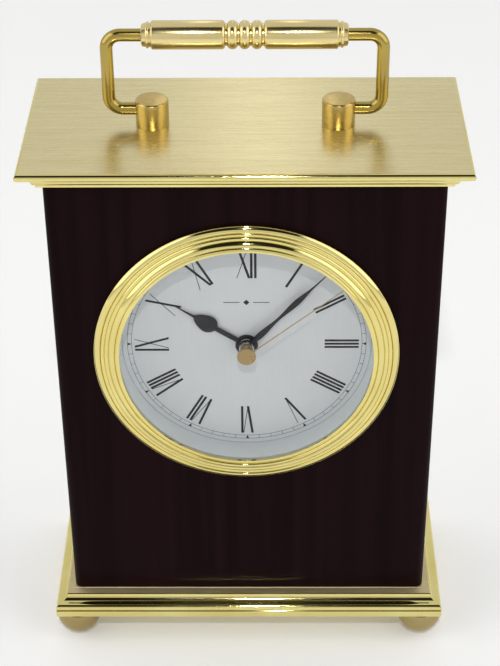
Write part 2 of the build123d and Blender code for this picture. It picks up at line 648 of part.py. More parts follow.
with BuildPart() as handle_grip:
    with BuildSketch(Plane.XZ) as grip_section:
        grip_outline()
        mirror(about=Plane.YZ)
    revolve(grip_section.sketch.moved(Location((0, 0, GRIP_Z))),
            axis=Axis((0, 0, GRIP_Z), (1, 0, 0)), revolution_arc=360)
    for bead in range(GRIP_BEAD_COUNT + 1):
        groove_x = -BEAD_BAND / 2 + bead * GRIP_BEAD_PITCH
        with BuildSketch(Plane.XZ) as groove:
            with Locations((groove_x, GRIP_Z + GRIP_RADIUS)):
                Rectangle(GRIP_GROOVE_WIDTH, 2 * (GRIP_RADIUS - GRIP_GROOVE_RADIUS))
        revolve(groove.sketch, axis=Axis((0, 0, GRIP_Z), (1, 0, 0)), revolution_arc=360, mode=Mode.SUBTRACT)
    for side in (-1, 1):
        reach = sorted((side * (GRIP_LENGTH / 2 - GRIP_SOCKET), side * GRIP_LENGTH / 2))
        crossbar(BAIL_RADIUS, reach[0], reach[1], 0, GRIP_Z, mode=Mode.SUBTRACT)
handle_grip.part.label = "handle_grip"
export_step(handle_grip.part, "parts/handle_grip.step")

# ================================================================ clock insert
GLASS_RADIUS = SLEEVE_BORE - 2 * SEAT_PLAY
REED_RADII = [BEZEL_RADIUS - sum(REED_WIDTHS[:step]) for step in range(len(REED_FEET))]
BEZEL_SECTION = Plane((0, FRONT_Y, CENTRE_Z), x_dir=(1, 0, 0), z_dir=(0, 0, 1))
with BuildPart() as bezel:
    with BuildSketch(BEZEL_SECTION) as bezel_section:
        with BuildLine() as bezel_edge:
            Polyline((BEZEL_RADIUS, -REED_FEET[0]), (BEZEL_RADIUS, 0), (SLEEVE_RADIUS, 0),
                     (SLEEVE_RADIUS, DIAL_SETBACK - SLEEVE_GAP), (SLEEVE_BORE, DIAL_SETBACK - SLEEVE_GAP),
                     (SLEEVE_BORE, -GLASS_PROUD), (BEZEL_LIP_RADIUS, -GLASS_PROUD),
                     (BEZEL_LIP_RADIUS, -BEZEL_PROUD), (BEZEL_LIP_RADIUS + LIP_LAND, -BEZEL_PROUD),
                     (REED_RADII[-1], -REED_FEET[-1]))
            for reed in range(len(REED_CROWNS)):
                outer_r, inner_r = REED_RADII[reed], REED_RADII[reed + 1]
                ThreePointArc((inner_r, -REED_FEET[reed + 1]), ((outer_r + inner_r) / 2, -REED_CROWNS[reed]),
                              (outer_r, -REED_FEET[reed]))
        make_face()
    revolve(axis=Axis((0, 0, CENTRE_Z), (0, 1, 0)), revolution_arc=360)
bezel.part.label = "bezel"
export_step(bezel.part, "parts/bezel.step")

GLASS_FRONT_Y = FRONT_Y - GLASS_PROUD
with BuildPart() as glass:
    rod(GLASS_RADIUS, GLASS_FRONT_Y, GLASS_FRONT_Y + GLASS_THICKNESS)
glass.part.label = "glass"
export_step(glass.part, "parts/glass.step")

with BuildPart() as glass_ring:
    rod(GLASS_RADIUS, GLASS_FRONT_Y + GLASS_THICKNESS, DIAL_Y)
    rod(BEZEL_LIP_RADIUS + SEAT_PLAY, GLASS_FRONT_Y + GLASS_THICKNESS, DIAL_Y, mode=Mode.SUBTRACT)
glass_ring.part.label = "glass_ring"
export_step(glass_ring.part, "parts/glass_ring.step")

with BuildPart() as dial_plate:
    rod(DIAL_RADIUS, DIAL_Y, MOVEMENT_Y)
    rod(NECK_RADIUS + SEAT_PLAY, DIAL_Y, MOVEMENT_Y, mode=Mode.SUBTRACT)
    for angle in RING_SCREW_ANGLES:
        with BuildSketch(ring_screw_plane(angle, MOVEMENT_Y)) as passage:
            Circle(DIAL_SCREW_RADIUS + SEAT_PLAY)
        extrude(passage.sketch, amount=DIAL_THICKNESS, mode=Mode.SUBTRACT)
    for side in (-1, 1):
        rod(DIAL_FOOT_RADIUS, MOVEMENT_Y, MOVEMENT_Y + DIAL_FOOT_LENGTH, side * EAR_REACH)
dial_plate.part.label = "dial_plate"
export_step(dial_plate.part, "parts/dial_plate.step")

with BuildPart() as dial_retaining_ring:
    rod(DIAL_RADIUS, MOVEMENT_Y, RING_BACK_Y)
    rod(RING_BORE, MOVEMENT_Y, RING_BACK_Y, mode=Mode.SUBTRACT)
    for angle in RING_SCREW_ANGLES:
        countersunk_hole(ring_screw_plane(angle, RING_BACK_Y), DIAL_SCREW_RADIUS, DIAL_SCREW_HEAD,
                         RING_THICKNESS)
dial_retaining_ring.part.label = "dial_retaining_ring"
export_step(dial_retaining_ring.part, "parts/dial_retaining_ring.step")

with BuildPart() as dial_screws:
    for angle in RING_SCREW_ANGLES:
        countersunk_screw(ring_screw_plane(angle, RING_BACK_Y), DIAL_SCREW_RADIUS, DIAL_SCREW_HEAD,
                          DIAL_SCREW_LENGTH)
dial_screws.part.label = "dial_screws"
export_step(dial_screws.part, "parts/dial_screws.step")

with BuildPart() as dial_foot_nuts:
    for side in (-1, 1):
        with BuildSketch(facing(depth(EAR_THICKNESS + DIAL_NUT_THICKNESS), side * EAR_REACH)) as nut:
            RegularPolygon(DIAL_NUT_RADIUS, side_count=6)
            Circle(DIAL_FOOT_RADIUS, mode=Mode.SUBTRACT)
        extrude(nut.sketch, amount=DIAL_NUT_THICKNESS)
dial_foot_nuts.part.label = "dial_foot_nuts"
export_step(dial_foot_nuts.part, "parts/dial_foot_nuts.step")

# ================================================================ movement
HALF_MOVEMENT = MOVEMENT_SIZE / 2
HALF_INSIDE = HALF_MOVEMENT - MOVEMENT_WALL
SHELL_SPLIT = MOVEMENT_DEPTH / 2
CELL_RISE = -HALF_INSIDE + CELL_RADIUS + AIR
BAY_TOP = CELL_RISE + CELL_RADIUS + AIR
INSIDE_BACK = MOVEMENT_DEPTH - MOVEMENT_WALL


def polar(distance, direction):
    """Offset from the clock centre: along X, and up."""
    return distance * cos(radians(direction)), distance * sin(radians(direction))


def centre_distance(module, pinion, wheel):
    """Distance between the arbors of a meshing pair."""
    return module * (pinion + wheel) / 2


SECOND_REACH = centre_distance(SECOND_MODULE, PINION_TEETH, SECOND_TEETH)
ROTOR_REACH = centre_distance(ROTOR_MODULE, PINION_TEETH, INTERMEDIATE_TEETH)
THIRD_REACH = centre_distance(THIRD_MODULE, PINION_TEETH, THIRD_TEETH)
THIRD_PINION_MODULE = 2 * THIRD_REACH / (PINION_TEETH + CENTRE_TEETH)
CANNON_MODULE = 2 * MOTION_DISTANCE / (CANNON_TEETH + MOTION_TEETH)
HOUR_MODULE = 2 * MOTION_DISTANCE / (MOTION_PINION_TEETH + HOUR_TEETH)
THIRD_X, THIRD_RISE = polar(THIRD_REACH, THIRD_DIRECTION)
INTERMEDIATE_X, INTERMEDIATE_RISE = polar(SECOND_REACH, INTERMEDIATE_DIRECTION)
ROTOR_STEP_X, ROTOR_STEP_RISE = polar(ROTOR_REACH, ROTOR_DIRECTION)
ROTOR_X = INTERMEDIATE_X + ROTOR_STEP_X
ROTOR_RISE = INTERMEDIATE_RISE + ROTOR_STEP_RISE
MOTION_X, MOTION_RISE = polar(MOTION_DISTANCE, MOTION_DIRECTION)


def squared_case(front, back, half, corner):
    """Square block with rounded corners, between two depths behind the movement's front."""
    with BuildSketch(facing(depth(back))) as square:
        RectangleRounded(2 * half, 2 * half, corner)
    return square.sketch, back - front


with BuildPart() as movement_case_front:
    outer_shape, outer_depth = squared_case(0, SHELL_SPLIT, HALF_MOVEMENT, MOVEMENT_CORNER)
    extrude(outer_shape, amount=outer_depth)
    for side in (-1, 1):
        rod(EAR_RADIUS, depth(0), depth(EAR_THICKNESS), side * EAR_REACH)
        edges = sorted((side * HALF_INSIDE, side * EAR_REACH))
        block(edges[0], edges[1], depth(0), depth(EAR_THICKNESS), CENTRE_Z - EAR_RADIUS,
              CENTRE_Z + EAR_RADIUS)
    inner_shape, inner_depth = squared_case(MOVEMENT_WALL, SHELL_SPLIT, HALF_INSIDE,
                                            MOVEMENT_CORNER - MOVEMENT_WALL)
    extrude(inner_shape, amount=inner_depth, mode=Mode.SUBTRACT)
    rod(NECK_RADIUS, DIAL_Y, depth(MOVEMENT_WALL))
    rod(HOUR_PIPE_RADIUS + JOINT_PLAY, DIAL_Y, depth(MOVEMENT_WALL), mode=Mode.SUBTRACT)
    for pivot_x, pivot_rise in ((THIRD_X, THIRD_RISE), (MOTION_X, MOTION_RISE)):
        rod(ARBOR_RADIUS + JOINT_PLAY, depth(FRONT_PIVOT), depth(MOVEMENT_WALL), pivot_x, pivot_rise,
            mode=Mode.SUBTRACT)
    for side in (-1, 1):
        rod(DIAL_FOOT_RADIUS + SEAT_PLAY, depth(0), depth(EAR_THICKNESS), side * EAR_REACH,
            mode=Mode.SUBTRACT)
movement_case_front.part.label = "movement_case_front"
export_step(movement_case_front.part, "parts/movement_case_front.step")

BACK_PIVOTS = ((0.0, 0.0, SECOND_ARBOR_RADIUS), (THIRD_X, THIRD_RISE, ARBOR_RADIUS),
               (INTERMEDIATE_X, INTERMEDIATE_RISE, ARBOR_RADIUS), (ROTOR_X, ROTOR_RISE, ARBOR_RADIUS))
STATOR_LEFT, STATOR_RIGHT = -14.5, ROTOR_X + ROTOR_RADIUS
STATOR_BACK = STATOR_DEPTH + STATOR_THICKNESS
BOARD_LEFT, BOARD_RIGHT, BOARD_LOW, BOARD_HIGH = -26.0, -15.5, -9.0, 23.0
BOARD_MIDDLE = (BOARD_LEFT + BOARD_RIGHT) / 2
BOARD_BACK = BOARD_DEPTH + BOARD_THICK
SUPPORT_INSET = 2.0
SUPPORTS = ((BOARD_MIDDLE, BOARD_LOW + SUPPORT_INSET, BOARD_BACK),
            (BOARD_MIDDLE, BOARD_HIGH - SUPPORT_INSET, BOARD_BACK),
            (STATOR_LEFT + STATOR_ARM / 2, COIL_RISE, STATOR_BACK),
            (STATOR_RIGHT - STATOR_ARM / 2, COIL_RISE, STATOR_BACK))
with BuildPart() as movement_case_back:
    outer_shape, outer_depth = squared_case(SHELL_SPLIT, MOVEMENT_DEPTH, HALF_MOVEMENT, MOVEMENT_CORNER)
    extrude(outer_shape, amount=outer_depth)
    inner_shape, inner_depth = squared_case(SHELL_SPLIT, INSIDE_BACK, HALF_INSIDE,
                                            MOVEMENT_CORNER - MOVEMENT_WALL)
    extrude(inner_shape, amount=inner_depth, mode=Mode.SUBTRACT)
    block(-HALF_INSIDE, HALF_INSIDE, depth(SHELL_SPLIT), depth(MOVEMENT_DEPTH),
          CENTRE_Z - HALF_INSIDE, CENTRE_Z + BAY_TOP, mode=Mode.SUBTRACT)
    block(-HALF_INSIDE + SEAT_PLAY, HALF_INSIDE - SEAT_PLAY, depth(MOVEMENT_WALL + AIR),
          depth(INSIDE_BACK), CENTRE_Z + BAY_TOP, CENTRE_Z + BAY_TOP + BAY_WALL)
    for post_x, post_rise, post_front in SUPPORTS:
        rod(SUPPORT_RADIUS, depth(post_front), depth(INSIDE_BACK), post_x, post_rise)
    for pivot_x, pivot_rise, pivot_radius in BACK_PIVOTS:
        rod(pivot_radius + JOINT_PLAY, depth(INSIDE_BACK), depth(PIVOT_END + JOINT_PLAY), pivot_x,
            pivot_rise, mode=Mode.SUBTRACT)
    rod(SETTING_ARBOR_RADIUS + JOINT_PLAY, depth(INSIDE_BACK), depth(MOVEMENT_DEPTH), MOTION_X,
        MOTION_RISE, mode=Mode.SUBTRACT)
movement_case_back.part.label = "movement_case_back"
export_step(movement_case_back.part, "parts/movement_case_back.step")

PILLARS = ((-12.5, -5.0), (-3.5, 12.4), (14.0, 10.5))
PLATE_LEFT, PLATE_RIGHT, PLATE_LOW, PLATE_HIGH = -15.0, 16.5, -8.0, 14.8
PLATE_BACK = TRAIN_PLATE_DEPTH + TRAIN_PLATE_THICKNESS
with BuildPart() as train_plate:
    block(PLATE_LEFT, PLATE_RIGHT, depth(TRAIN_PLATE_DEPTH), depth(PLATE_BACK), CENTRE_Z + PLATE_LOW,
          CENTRE_Z + PLATE_HIGH)
    for pillar_x, pillar_rise in PILLARS:
        rod(TRAIN_PILLAR_RADIUS, depth(MOVEMENT_WALL), depth(TRAIN_PLATE_DEPTH), pillar_x, pillar_rise)
    for pivot_x, pivot_rise, pivot_radius in BACK_PIVOTS + ((MOTION_X, MOTION_RISE, SETTING_ARBOR_RADIUS),):
        rod(pivot_radius + JOINT_PLAY, depth(TRAIN_PLATE_DEPTH), depth(PLATE_BACK), pivot_x, pivot_rise,
            mode=Mode.SUBTRACT)
train_plate.part.label = "train_plate"
export_step(train_plate.part, "parts/train_plate.step")

STATOR_LOW = INTERMEDIATE_RISE + ARBOR_RADIUS + 3 * AIR
STATOR_TOP = COIL_RISE + STATOR_ARM / 2
ROTOR_BORE = ROTOR_RADIUS + ROTOR_AIR
with BuildPart() as stator:
    near, far = depth(STATOR_DEPTH), depth(STATOR_BACK)
    block(STATOR_LEFT, STATOR_LEFT + STATOR_ARM, near, far, CENTRE_Z + STATOR_LOW, CENTRE_Z + STATOR_TOP)
    block(STATOR_LEFT, ROTOR_X, near, far, CENTRE_Z + STATOR_LOW, CENTRE_Z + STATOR_LOW + STATOR_ARM)
    block(STATOR_RIGHT - STATOR_ARM, STATOR_RIGHT, near, far, CENTRE_Z + ROTOR_RISE, CENTRE_Z + STATOR_TOP)
    rod(ROTOR_BORE + STATOR_ARM / 2, near, far, ROTOR_X, ROTOR_RISE)
    rod(ROTOR_BORE, near, far, ROTOR_X, ROTOR_RISE, mode=Mode.SUBTRACT)
    rod(ARBOR_RADIUS + AIR, near, far, INTERMEDIATE_X, INTERMEDIATE_RISE, mode=Mode.SUBTRACT)
stator.part.label = "stator"
export_step(stator.part, "parts/stator.step")

CORE_BLOCK = 3.0
CORE_LEFT, CORE_RIGHT = STATOR_LEFT + STATOR_ARM, STATOR_RIGHT - STATOR_ARM
COIL_Z = CENTRE_Z + COIL_RISE
with BuildPart() as coil_core:
    crossbar(CORE_RADIUS, CORE_LEFT - CORE_BLOCK, CORE_RIGHT + CORE_BLOCK, depth(COIL_DEPTH), COIL_Z)
    for block_low, block_high in ((CORE_LEFT - CORE_BLOCK, CORE_LEFT), (CORE_RIGHT, CORE_RIGHT + CORE_BLOCK)):
        block(block_low, block_high, depth(COIL_DEPTH - CORE_RADIUS), depth(STATOR_DEPTH),
              COIL_Z - CORE_BLOCK / 2, COIL_Z + CORE_BLOCK / 2)
coil_core.part.label = "coil_core"
export_step(coil_core.part, "parts/coil_core.step")

COIL_LEFT = (CORE_LEFT + CORE_RIGHT - COIL_LENGTH) / 2
with BuildPart() as drive_coil:
    crossbar(COIL_RADIUS, COIL_LEFT, COIL_LEFT + COIL_LENGTH, depth(COIL_DEPTH), COIL_Z)
    for cheek in (COIL_LEFT, COIL_LEFT + COIL_LENGTH - COIL_CHEEK):
        crossbar(COIL_CHEEK_RADIUS, cheek, cheek + COIL_CHEEK, depth(COIL_DEPTH), COIL_Z)
    crossbar(CORE_RADIUS + SEAT_PLAY, COIL_LEFT, COIL_LEFT + COIL_LENGTH, depth(COIL_DEPTH), COIL_Z,
             mode=Mode.SUBTRACT)
drive_coil.part.label = "drive_coil"
export_step(drive_coil.part, "parts/drive_coil.step")

CHIP_SIZE, CHIP_THICKNESS, CHIP_LOW = 5.0, 1.2, 4.0
CRYSTAL_RADIUS, CRYSTAL_LENGTH, CRYSTAL_LOW = 1.0, 6.0, 12.0
with BuildPart() as circuit_board:
    block(BOARD_LEFT, BOARD_RIGHT, depth(BOARD_DEPTH), depth(BOARD_BACK),
          CENTRE_Z + BOARD_LOW, CENTRE_Z + BOARD_HIGH)
    block(BOARD_MIDDLE - CHIP_SIZE / 2, BOARD_MIDDLE + CHIP_SIZE / 2, depth(BOARD_DEPTH - CHIP_THICKNESS),
          depth(BOARD_DEPTH), CENTRE_Z + CHIP_LOW, CENTRE_Z + CHIP_LOW + CHIP_SIZE)
    upright(CRYSTAL_RADIUS, CENTRE_Z + CRYSTAL_LOW, CENTRE_Z + CRYSTAL_LOW + CRYSTAL_LENGTH, BOARD_MIDDLE,
            depth(BOARD_DEPTH - CRYSTAL_RADIUS / 2))
circuit_board.part.label = "circuit_board"
export_step(circuit_board.part, "parts/circuit_board.step")

CELL_LEFT = -(CELL_LENGTH + CELL_NUB_LENGTH) / 2
with BuildPart() as battery:
    crossbar(CELL_RADIUS, CELL_LEFT, CELL_LEFT + CELL_LENGTH, depth(CELL_DEPTH), CENTRE_Z + CELL_RISE)
    crossbar(CELL_NUB_RADIUS, CELL_LEFT + CELL_LENGTH, -CELL_LEFT, depth(CELL_DEPTH), CENTRE_Z + CELL_RISE)
battery.part.label = "battery"
export_step(battery.part, "parts/battery.step")

CONTACT_PAD_RADIUS = 2.0
with BuildPart() as battery_contacts:
    for side in (-1, 1):
        plate_x = sorted((side * HALF_INSIDE, side * (HALF_INSIDE - CONTACT_THICKNESS)))
        block(plate_x[0], plate_x[1], depth(CELL_DEPTH) - CONTACT_HEIGHT / 2,
              depth(CELL_DEPTH) + CONTACT_HEIGHT / 2, CENTRE_Z + CELL_RISE - CONTACT_HEIGHT / 2,
              CENTRE_Z + CELL_RISE + CONTACT_HEIGHT / 2)
        pad_x = sorted((side * (HALF_INSIDE - CONTACT_THICKNESS), -side * CELL_LEFT))
        crossbar(CONTACT_PAD_RADIUS, pad_x[0], pad_x[1], depth(CELL_DEPTH), CENTRE_Z + CELL_RISE)
battery_contacts.part.label = "battery_contacts"
export_step(battery_contacts.part, "parts/battery_contacts.step")


# ================================================================ gear train
def toothed_disc(teeth, module, front, thickness, x=0.0, rise=0.0, phase=0.0):
    """Spur wheel: one tooth's centre line points along phase, in degrees from +X towards +Z."""
    pitch = 2 * pi / teeth
    root = module * (teeth / 2 - DEDENDUM)
    tip = module * (teeth / 2 + ADDENDUM)
    points = []
    for tooth in range(teeth):
        for offset, radius in ((-TOOTH_ROOT, root), (-TOOTH_TIP, tip), (TOOTH_TIP, tip), (TOOTH_ROOT, root)):
            angle = radians(phase) + pitch * (tooth + offset)
            points.append((radius * cos(angle), radius * sin(angle)))
    with BuildSketch(facing(depth(front + thickness), x, rise)) as profile:
        with BuildLine() as rim:
            Polyline(*points, close=True)
        make_face()
    extrude(profile.sketch, amount=thickness)


def meshed(direction, teeth):
    """Phase of a wheel whose gap meets the tooth of its neighbour at this direction."""
    return direction + 180 + 180 / teeth


PINION_LEAD = (PINION_THICKNESS - WHEEL_THICKNESS) / 2

with BuildPart() as rotor:
    toothed_disc(PINION_TEETH, ROTOR_MODULE, INTERMEDIATE_WHEEL_DEPTH - PINION_LEAD, PINION_THICKNESS,
                 ROTOR_X, ROTOR_RISE, ROTOR_DIRECTION + 180)
    rod(ARBOR_RADIUS, depth(TRAIN_PLATE_DEPTH), depth(PIVOT_END), ROTOR_X, ROTOR_RISE)
    rod(ROTOR_RADIUS, depth(ROTOR_DEPTH), depth(ROTOR_DEPTH + ROTOR_THICKNESS), ROTOR_X, ROTOR_RISE)
rotor.part.label = "rotor"
export_step(rotor.part, "parts/rotor.step")

with BuildPart() as intermediate_wheel:
    toothed_disc(INTERMEDIATE_TEETH, ROTOR_MODULE, INTERMEDIATE_WHEEL_DEPTH, WHEEL_THICKNESS,
                 INTERMEDIATE_X, INTERMEDIATE_RISE, meshed(ROTOR_DIRECTION + 180, INTERMEDIATE_TEETH))
    toothed_disc(PINION_TEETH, SECOND_MODULE, SECOND_WHEEL_DEPTH - PINION_LEAD, PINION_THICKNESS,
                 INTERMEDIATE_X, INTERMEDIATE_RISE, INTERMEDIATE_DIRECTION + 180)
    rod(ARBOR_RADIUS, depth(TRAIN_PLATE_DEPTH), depth(PIVOT_END), INTERMEDIATE_X, INTERMEDIATE_RISE)
intermediate_wheel.part.label = "intermediate_wheel"
export_step(intermediate_wheel.part, "parts/intermediate_wheel.step")

SECOND_HAND_Y = DIAL_Y - SECOND_HAND_PROUD
with BuildPart() as second_wheel:
    toothed_disc(SECOND_TEETH, SECOND_MODULE, SECOND_WHEEL_DEPTH, WHEEL_THICKNESS,
                 phase=meshed(INTERMEDIATE_DIRECTION + 180, SECOND_TEETH))
    toothed_disc(PINION_TEETH, THIRD_MODULE, THIRD_WHEEL_DEPTH - PINION_LEAD, PINION_THICKNESS,
                 phase=THIRD_DIRECTION)
    rod(SECOND_ARBOR_RADIUS, SECOND_HAND_Y, depth(PIVOT_END))
second_wheel.part.label = "second_wheel"
export_step(second_wheel.part, "parts/second_wheel.step")

with BuildPart() as third_wheel:
    toothed_disc(THIRD_TEETH, THIRD_MODULE, THIRD_WHEEL_DEPTH, WHEEL_THICKNESS, THIRD_X, THIRD_RISE,
                 meshed(THIRD_DIRECTION, THIRD_TEETH))
    toothed_disc(PINION_TEETH, THIRD_PINION_MODULE, CENTRE_WHEEL_DEPTH - PINION_LEAD, PINION_THICKNESS,
                 THIRD_X, THIRD_RISE, THIRD_DIRECTION + 180)
    rod(ARBOR_RADIUS, depth(FRONT_PIVOT + JOINT_PLAY), depth(PIVOT_END), THIRD_X, THIRD_RISE)
third_wheel.part.label = "third_wheel"
export_step(third_wheel.part, "parts/third_wheel.step")

with BuildPart() as centre_wheel:
    toothed_disc(CENTRE_TEETH, THIRD_PINION_MODULE, CENTRE_WHEEL_DEPTH, WHEEL_THICKNESS,
                 phase=meshed(THIRD_DIRECTION + 180, CENTRE_TEETH))
    rod(CANNON_BORE, depth(CENTRE_WHEEL_DEPTH), depth(CENTRE_WHEEL_DEPTH + WHEEL_THICKNESS),
        mode=Mode.SUBTRACT)
centre_wheel.part.label = "centre_wheel"
export_step(centre_wheel.part, "parts/centre_wheel.step")

MINUTE_HAND_Y = DIAL_Y - MINUTE_HAND_PROUD
HAND_NUT_Y = MINUTE_HAND_Y - HAND_THICKNESS
CANNON_FRONT = MOTION_WHEEL_DEPTH - PINION_LEAD
with BuildPart() as cannon_pinion:
    toothed_disc(CANNON_TEETH, CANNON_MODULE, CANNON_FRONT, PINION_THICKNESS, phase=MOTION_DIRECTION)
    rod(CANNON_RADIUS, HAND_NUT_Y - HAND_NUT_THICKNESS, depth(CANNON_FRONT))
    rod(CANNON_BORE, HAND_NUT_Y - HAND_NUT_THICKNESS, depth(CANNON_FRONT + PINION_THICKNESS),
        mode=Mode.SUBTRACT)
cannon_pinion.part.label = "cannon_pinion"
export_step(cannon_pinion.part, "parts/cannon_pinion.step")

KNOB_FRONT = MOVEMENT_DEPTH + AIR
with BuildPart() as motion_wheel:
    toothed_disc(MOTION_TEETH, CANNON_MODULE, MOTION_WHEEL_DEPTH, WHEEL_THICKNESS, MOTION_X, MOTION_RISE,
                 meshed(MOTION_DIRECTION, MOTION_TEETH))
    toothed_disc(MOTION_PINION_TEETH, HOUR_MODULE, HOUR_WHEEL_DEPTH - PINION_LEAD, PINION_THICKNESS,
                 MOTION_X, MOTION_RISE, MOTION_DIRECTION + 180)
    rod(ARBOR_RADIUS, depth(FRONT_PIVOT + JOINT_PLAY), depth(MOTION_WHEEL_DEPTH), MOTION_X, MOTION_RISE)
    rod(SETTING_ARBOR_RADIUS, depth(MOTION_WHEEL_DEPTH), depth(KNOB_FRONT + KNOB_THICKNESS / 2), MOTION_X,
        MOTION_RISE)
motion_wheel.part.label = "motion_wheel"
export_step(motion_wheel.part, "parts/motion_wheel.step")

with BuildPart() as set_knob:
    rod(KNOB_RADIUS, depth(KNOB_FRONT), depth(KNOB_FRONT + KNOB_THICKNESS), MOTION_X, MOTION_RISE)
    for flute in range(KNOB_FLUTES):
        flute_x, flute_rise = polar(KNOB_RADIUS, 360 * flute / KNOB_FLUTES)
        rod(KNOB_FLUTE_RADIUS, depth(KNOB_FRONT), depth(KNOB_FRONT + KNOB_THICKNESS), MOTION_X + flute_x,
            MOTION_RISE + flute_rise, mode=Mode.SUBTRACT)
    rod(SETTING_ARBOR_RADIUS, depth(KNOB_FRONT), depth(KNOB_FRONT + KNOB_THICKNESS / 2), MOTION_X,
        MOTION_RISE, mode=Mode.SUBTRACT)
set_knob.part.label = "set_knob"
export_step(set_knob.part, "parts/set_knob.step")

HOUR_HAND_Y = DIAL_Y - HOUR_HAND_PROUD
HOUR_PIPE_FRONT_Y = HOUR_HAND_Y - HAND_THICKNESS
with BuildPart() as hour_wheel:
    toothed_disc(HOUR_TEETH, HOUR_MODULE, HOUR_WHEEL_DEPTH, WHEEL_THICKNESS,
                 phase=meshed(MOTION_DIRECTION + 180, HOUR_TEETH))
    rod(HOUR_PIPE_RADIUS, HOUR_PIPE_FRONT_Y, depth(HOUR_WHEEL_DEPTH))
    rod(HOUR_PIPE_BORE, HOUR_PIPE_FRONT_Y, depth(HOUR_WHEEL_DEPTH + WHEEL_THICKNESS), mode=Mode.SUBTRACT)
hour_wheel.part.label = "hour_wheel"
export_step(hour_wheel.part, "parts/hour_wheel.step")

# ================================================================ hands
with BuildPart() as hour_hand:
    with BuildSketch(facing(HOUR_HAND_Y, turn=HOUR_ANGLE)) as spade:
        with BuildLine() as spade_edge:
            shaft = Line((0, 0), (0, HOUR_SHAFT_HALF))
            rail = Line(shaft @ 1, (HOUR_SHAFT_END, HOUR_SHAFT_HALF))
            bulb = Spline(rail @ 1, (HOUR_BULB_PLACE, HOUR_BULB_HALF),
                          (HOUR_WAIST_PLACE, HOUR_WAIST_HALF),
                          (HOUR_HAND_LENGTH, HAND_TIP_HALF),
                          tangents=(HOUR_BULB_START, HOUR_TIP_RUN))
            tip = Line(bulb @ 1, (HOUR_HAND_LENGTH, 0))
            Line(tip @ 1, (0, 0))
        make_face()
        mirror(about=Plane.XZ)
        Circle(HOUR_RING_RADIUS)
        Circle(HOUR_PIPE_RADIUS, mode=Mode.SUBTRACT)
    extrude(amount=HAND_THICKNESS)
hour_hand.part.label = "hour_hand"
export_step(hour_hand.part, "parts/hour_hand.step")

with BuildPart() as minute_hand:
    with BuildSketch(facing(MINUTE_HAND_Y, turn=MINUTE_ANGLE)) as leaf:
        with BuildLine() as leaf_edge:
            root = Line((0, 0), (0, MINUTE_ROOT_HALF))
            blade = Spline(root @ 1, (MINUTE_SWELL_PLACE, MINUTE_SWELL_HALF),
                           (MINUTE_WAIST_PLACE, MINUTE_WAIST_HALF),
                           (MINUTE_LEAF_PLACE, MINUTE_LEAF_HALF),
                           (MINUTE_HAND_LENGTH, HAND_TIP_HALF))
            point = Line(blade @ 1, (MINUTE_HAND_LENGTH, 0))
            Line(point @ 1, (0, 0))
        make_face()
        mirror(about=Plane.XZ)
        Circle(MINUTE_RING_RADIUS)
        Circle(CANNON_RADIUS, mode=Mode.SUBTRACT)
    extrude(amount=HAND_THICKNESS)
minute_hand.part.label = "minute_hand"
export_step(minute_hand.part, "parts/minute_hand.step")

with BuildPart() as hand_nut:
    rod(HAND_NUT_RADIUS, HAND_NUT_Y - HAND_NUT_THICKNESS, HAND_NUT_Y)
    rod(CANNON_RADIUS, HAND_NUT_Y - HAND_NUT_THICKNESS, HAND_NUT_Y, mode=Mode.SUBTRACT)
hand_nut.part.label = "hand_nut"
export_step(hand_nut.part, "parts/hand_nut.step")

SECOND_BLADE_Y = SECOND_HAND_Y - HAND_THICKNESS / 2
with BuildPart() as second_hand:
    rod(SECOND_TUBE_RADIUS, SECOND_HAND_Y, SECOND_HAND_Y + SECOND_TUBE_LENGTH)
    rod(SECOND_ARBOR_RADIUS, SECOND_HAND_Y, SECOND_HAND_Y + SECOND_TUBE_LENGTH, mode=Mode.SUBTRACT)
    rod(SECOND_CAP_RADIUS, SECOND_BLADE_Y - SECOND_CAP_THICKNESS, SECOND_HAND_Y)
    with BuildSketch(facing(SECOND_HAND_Y, turn=SECOND_ANGLE)) as needle:
        with Locations((SECOND_HAND_LENGTH / 2, 0)):
            Trapezoid(SECOND_HAND_WIDTH, SECOND_HAND_LENGTH, SECOND_HAND_SIDE, rotation=-90)
    extrude(amount=HAND_THICKNESS / 2)
second_hand.part.label = "second_hand"
export_step(second_hand.part, "parts/second_hand.step")

# ================================================================ back door
HINGE_X = -(DOOR_WIDTH + DOOR_GAP) / 2
HINGE_Y = BACK_Y + HINGE_AXIS_OUT
DOOR_INNER_Y = BACK_Y - DOOR_THICKNESS
HINGE_REACH = DOOR_HEIGHT / 2 - HINGE_INSET
HINGE_CENTRES = (DOOR_RISE - HINGE_REACH, DOOR_RISE + HINGE_REACH)
KNUCKLE_LENGTH = (HINGE_LENGTH - 2 * KNUCKLE_GAP) / 3
KNOB_X = DOOR_WIDTH / 2 - DOOR_KNOB_INSET
MAGNET_FACE_Y = DOOR_INNER_Y - AIR
MAGNET_RIGHT = OPENING_X - AIR
MAGNET_LEFT = MAGNET_RIGHT - MAGNET_WIDTH
STRIKE_RIGHT = DOOR_WIDTH / 2 - STRIKE_MARGIN


def hinge_leaf(side, centre_z, own_knuckles):
    """Leaf on one side of the pin, with a tongue under each of its own knuckles."""
    near, far = HINGE_X + side * HINGE_REBATE, HINGE_X + side * HINGE_LEAF
    block(min(near, far), max(near, far), BACK_Y, BACK_Y + HINGE_THICKNESS, centre_z - HINGE_LENGTH / 2,
          centre_z + HINGE_LENGTH / 2)
    for place in own_knuckles:
        low = centre_z - HINGE_LENGTH / 2 + place * (KNUCKLE_LENGTH + KNUCKLE_GAP)
        block(min(HINGE_X, near), max(HINGE_X, near), BACK_Y + HINGE_AXIS_OUT - KNUCKLE_RADIUS,
              BACK_Y + HINGE_THICKNESS, low, low + KNUCKLE_LENGTH)
        upright(KNUCKLE_RADIUS, low, low + KNUCKLE_LENGTH, HINGE_X, HINGE_Y)


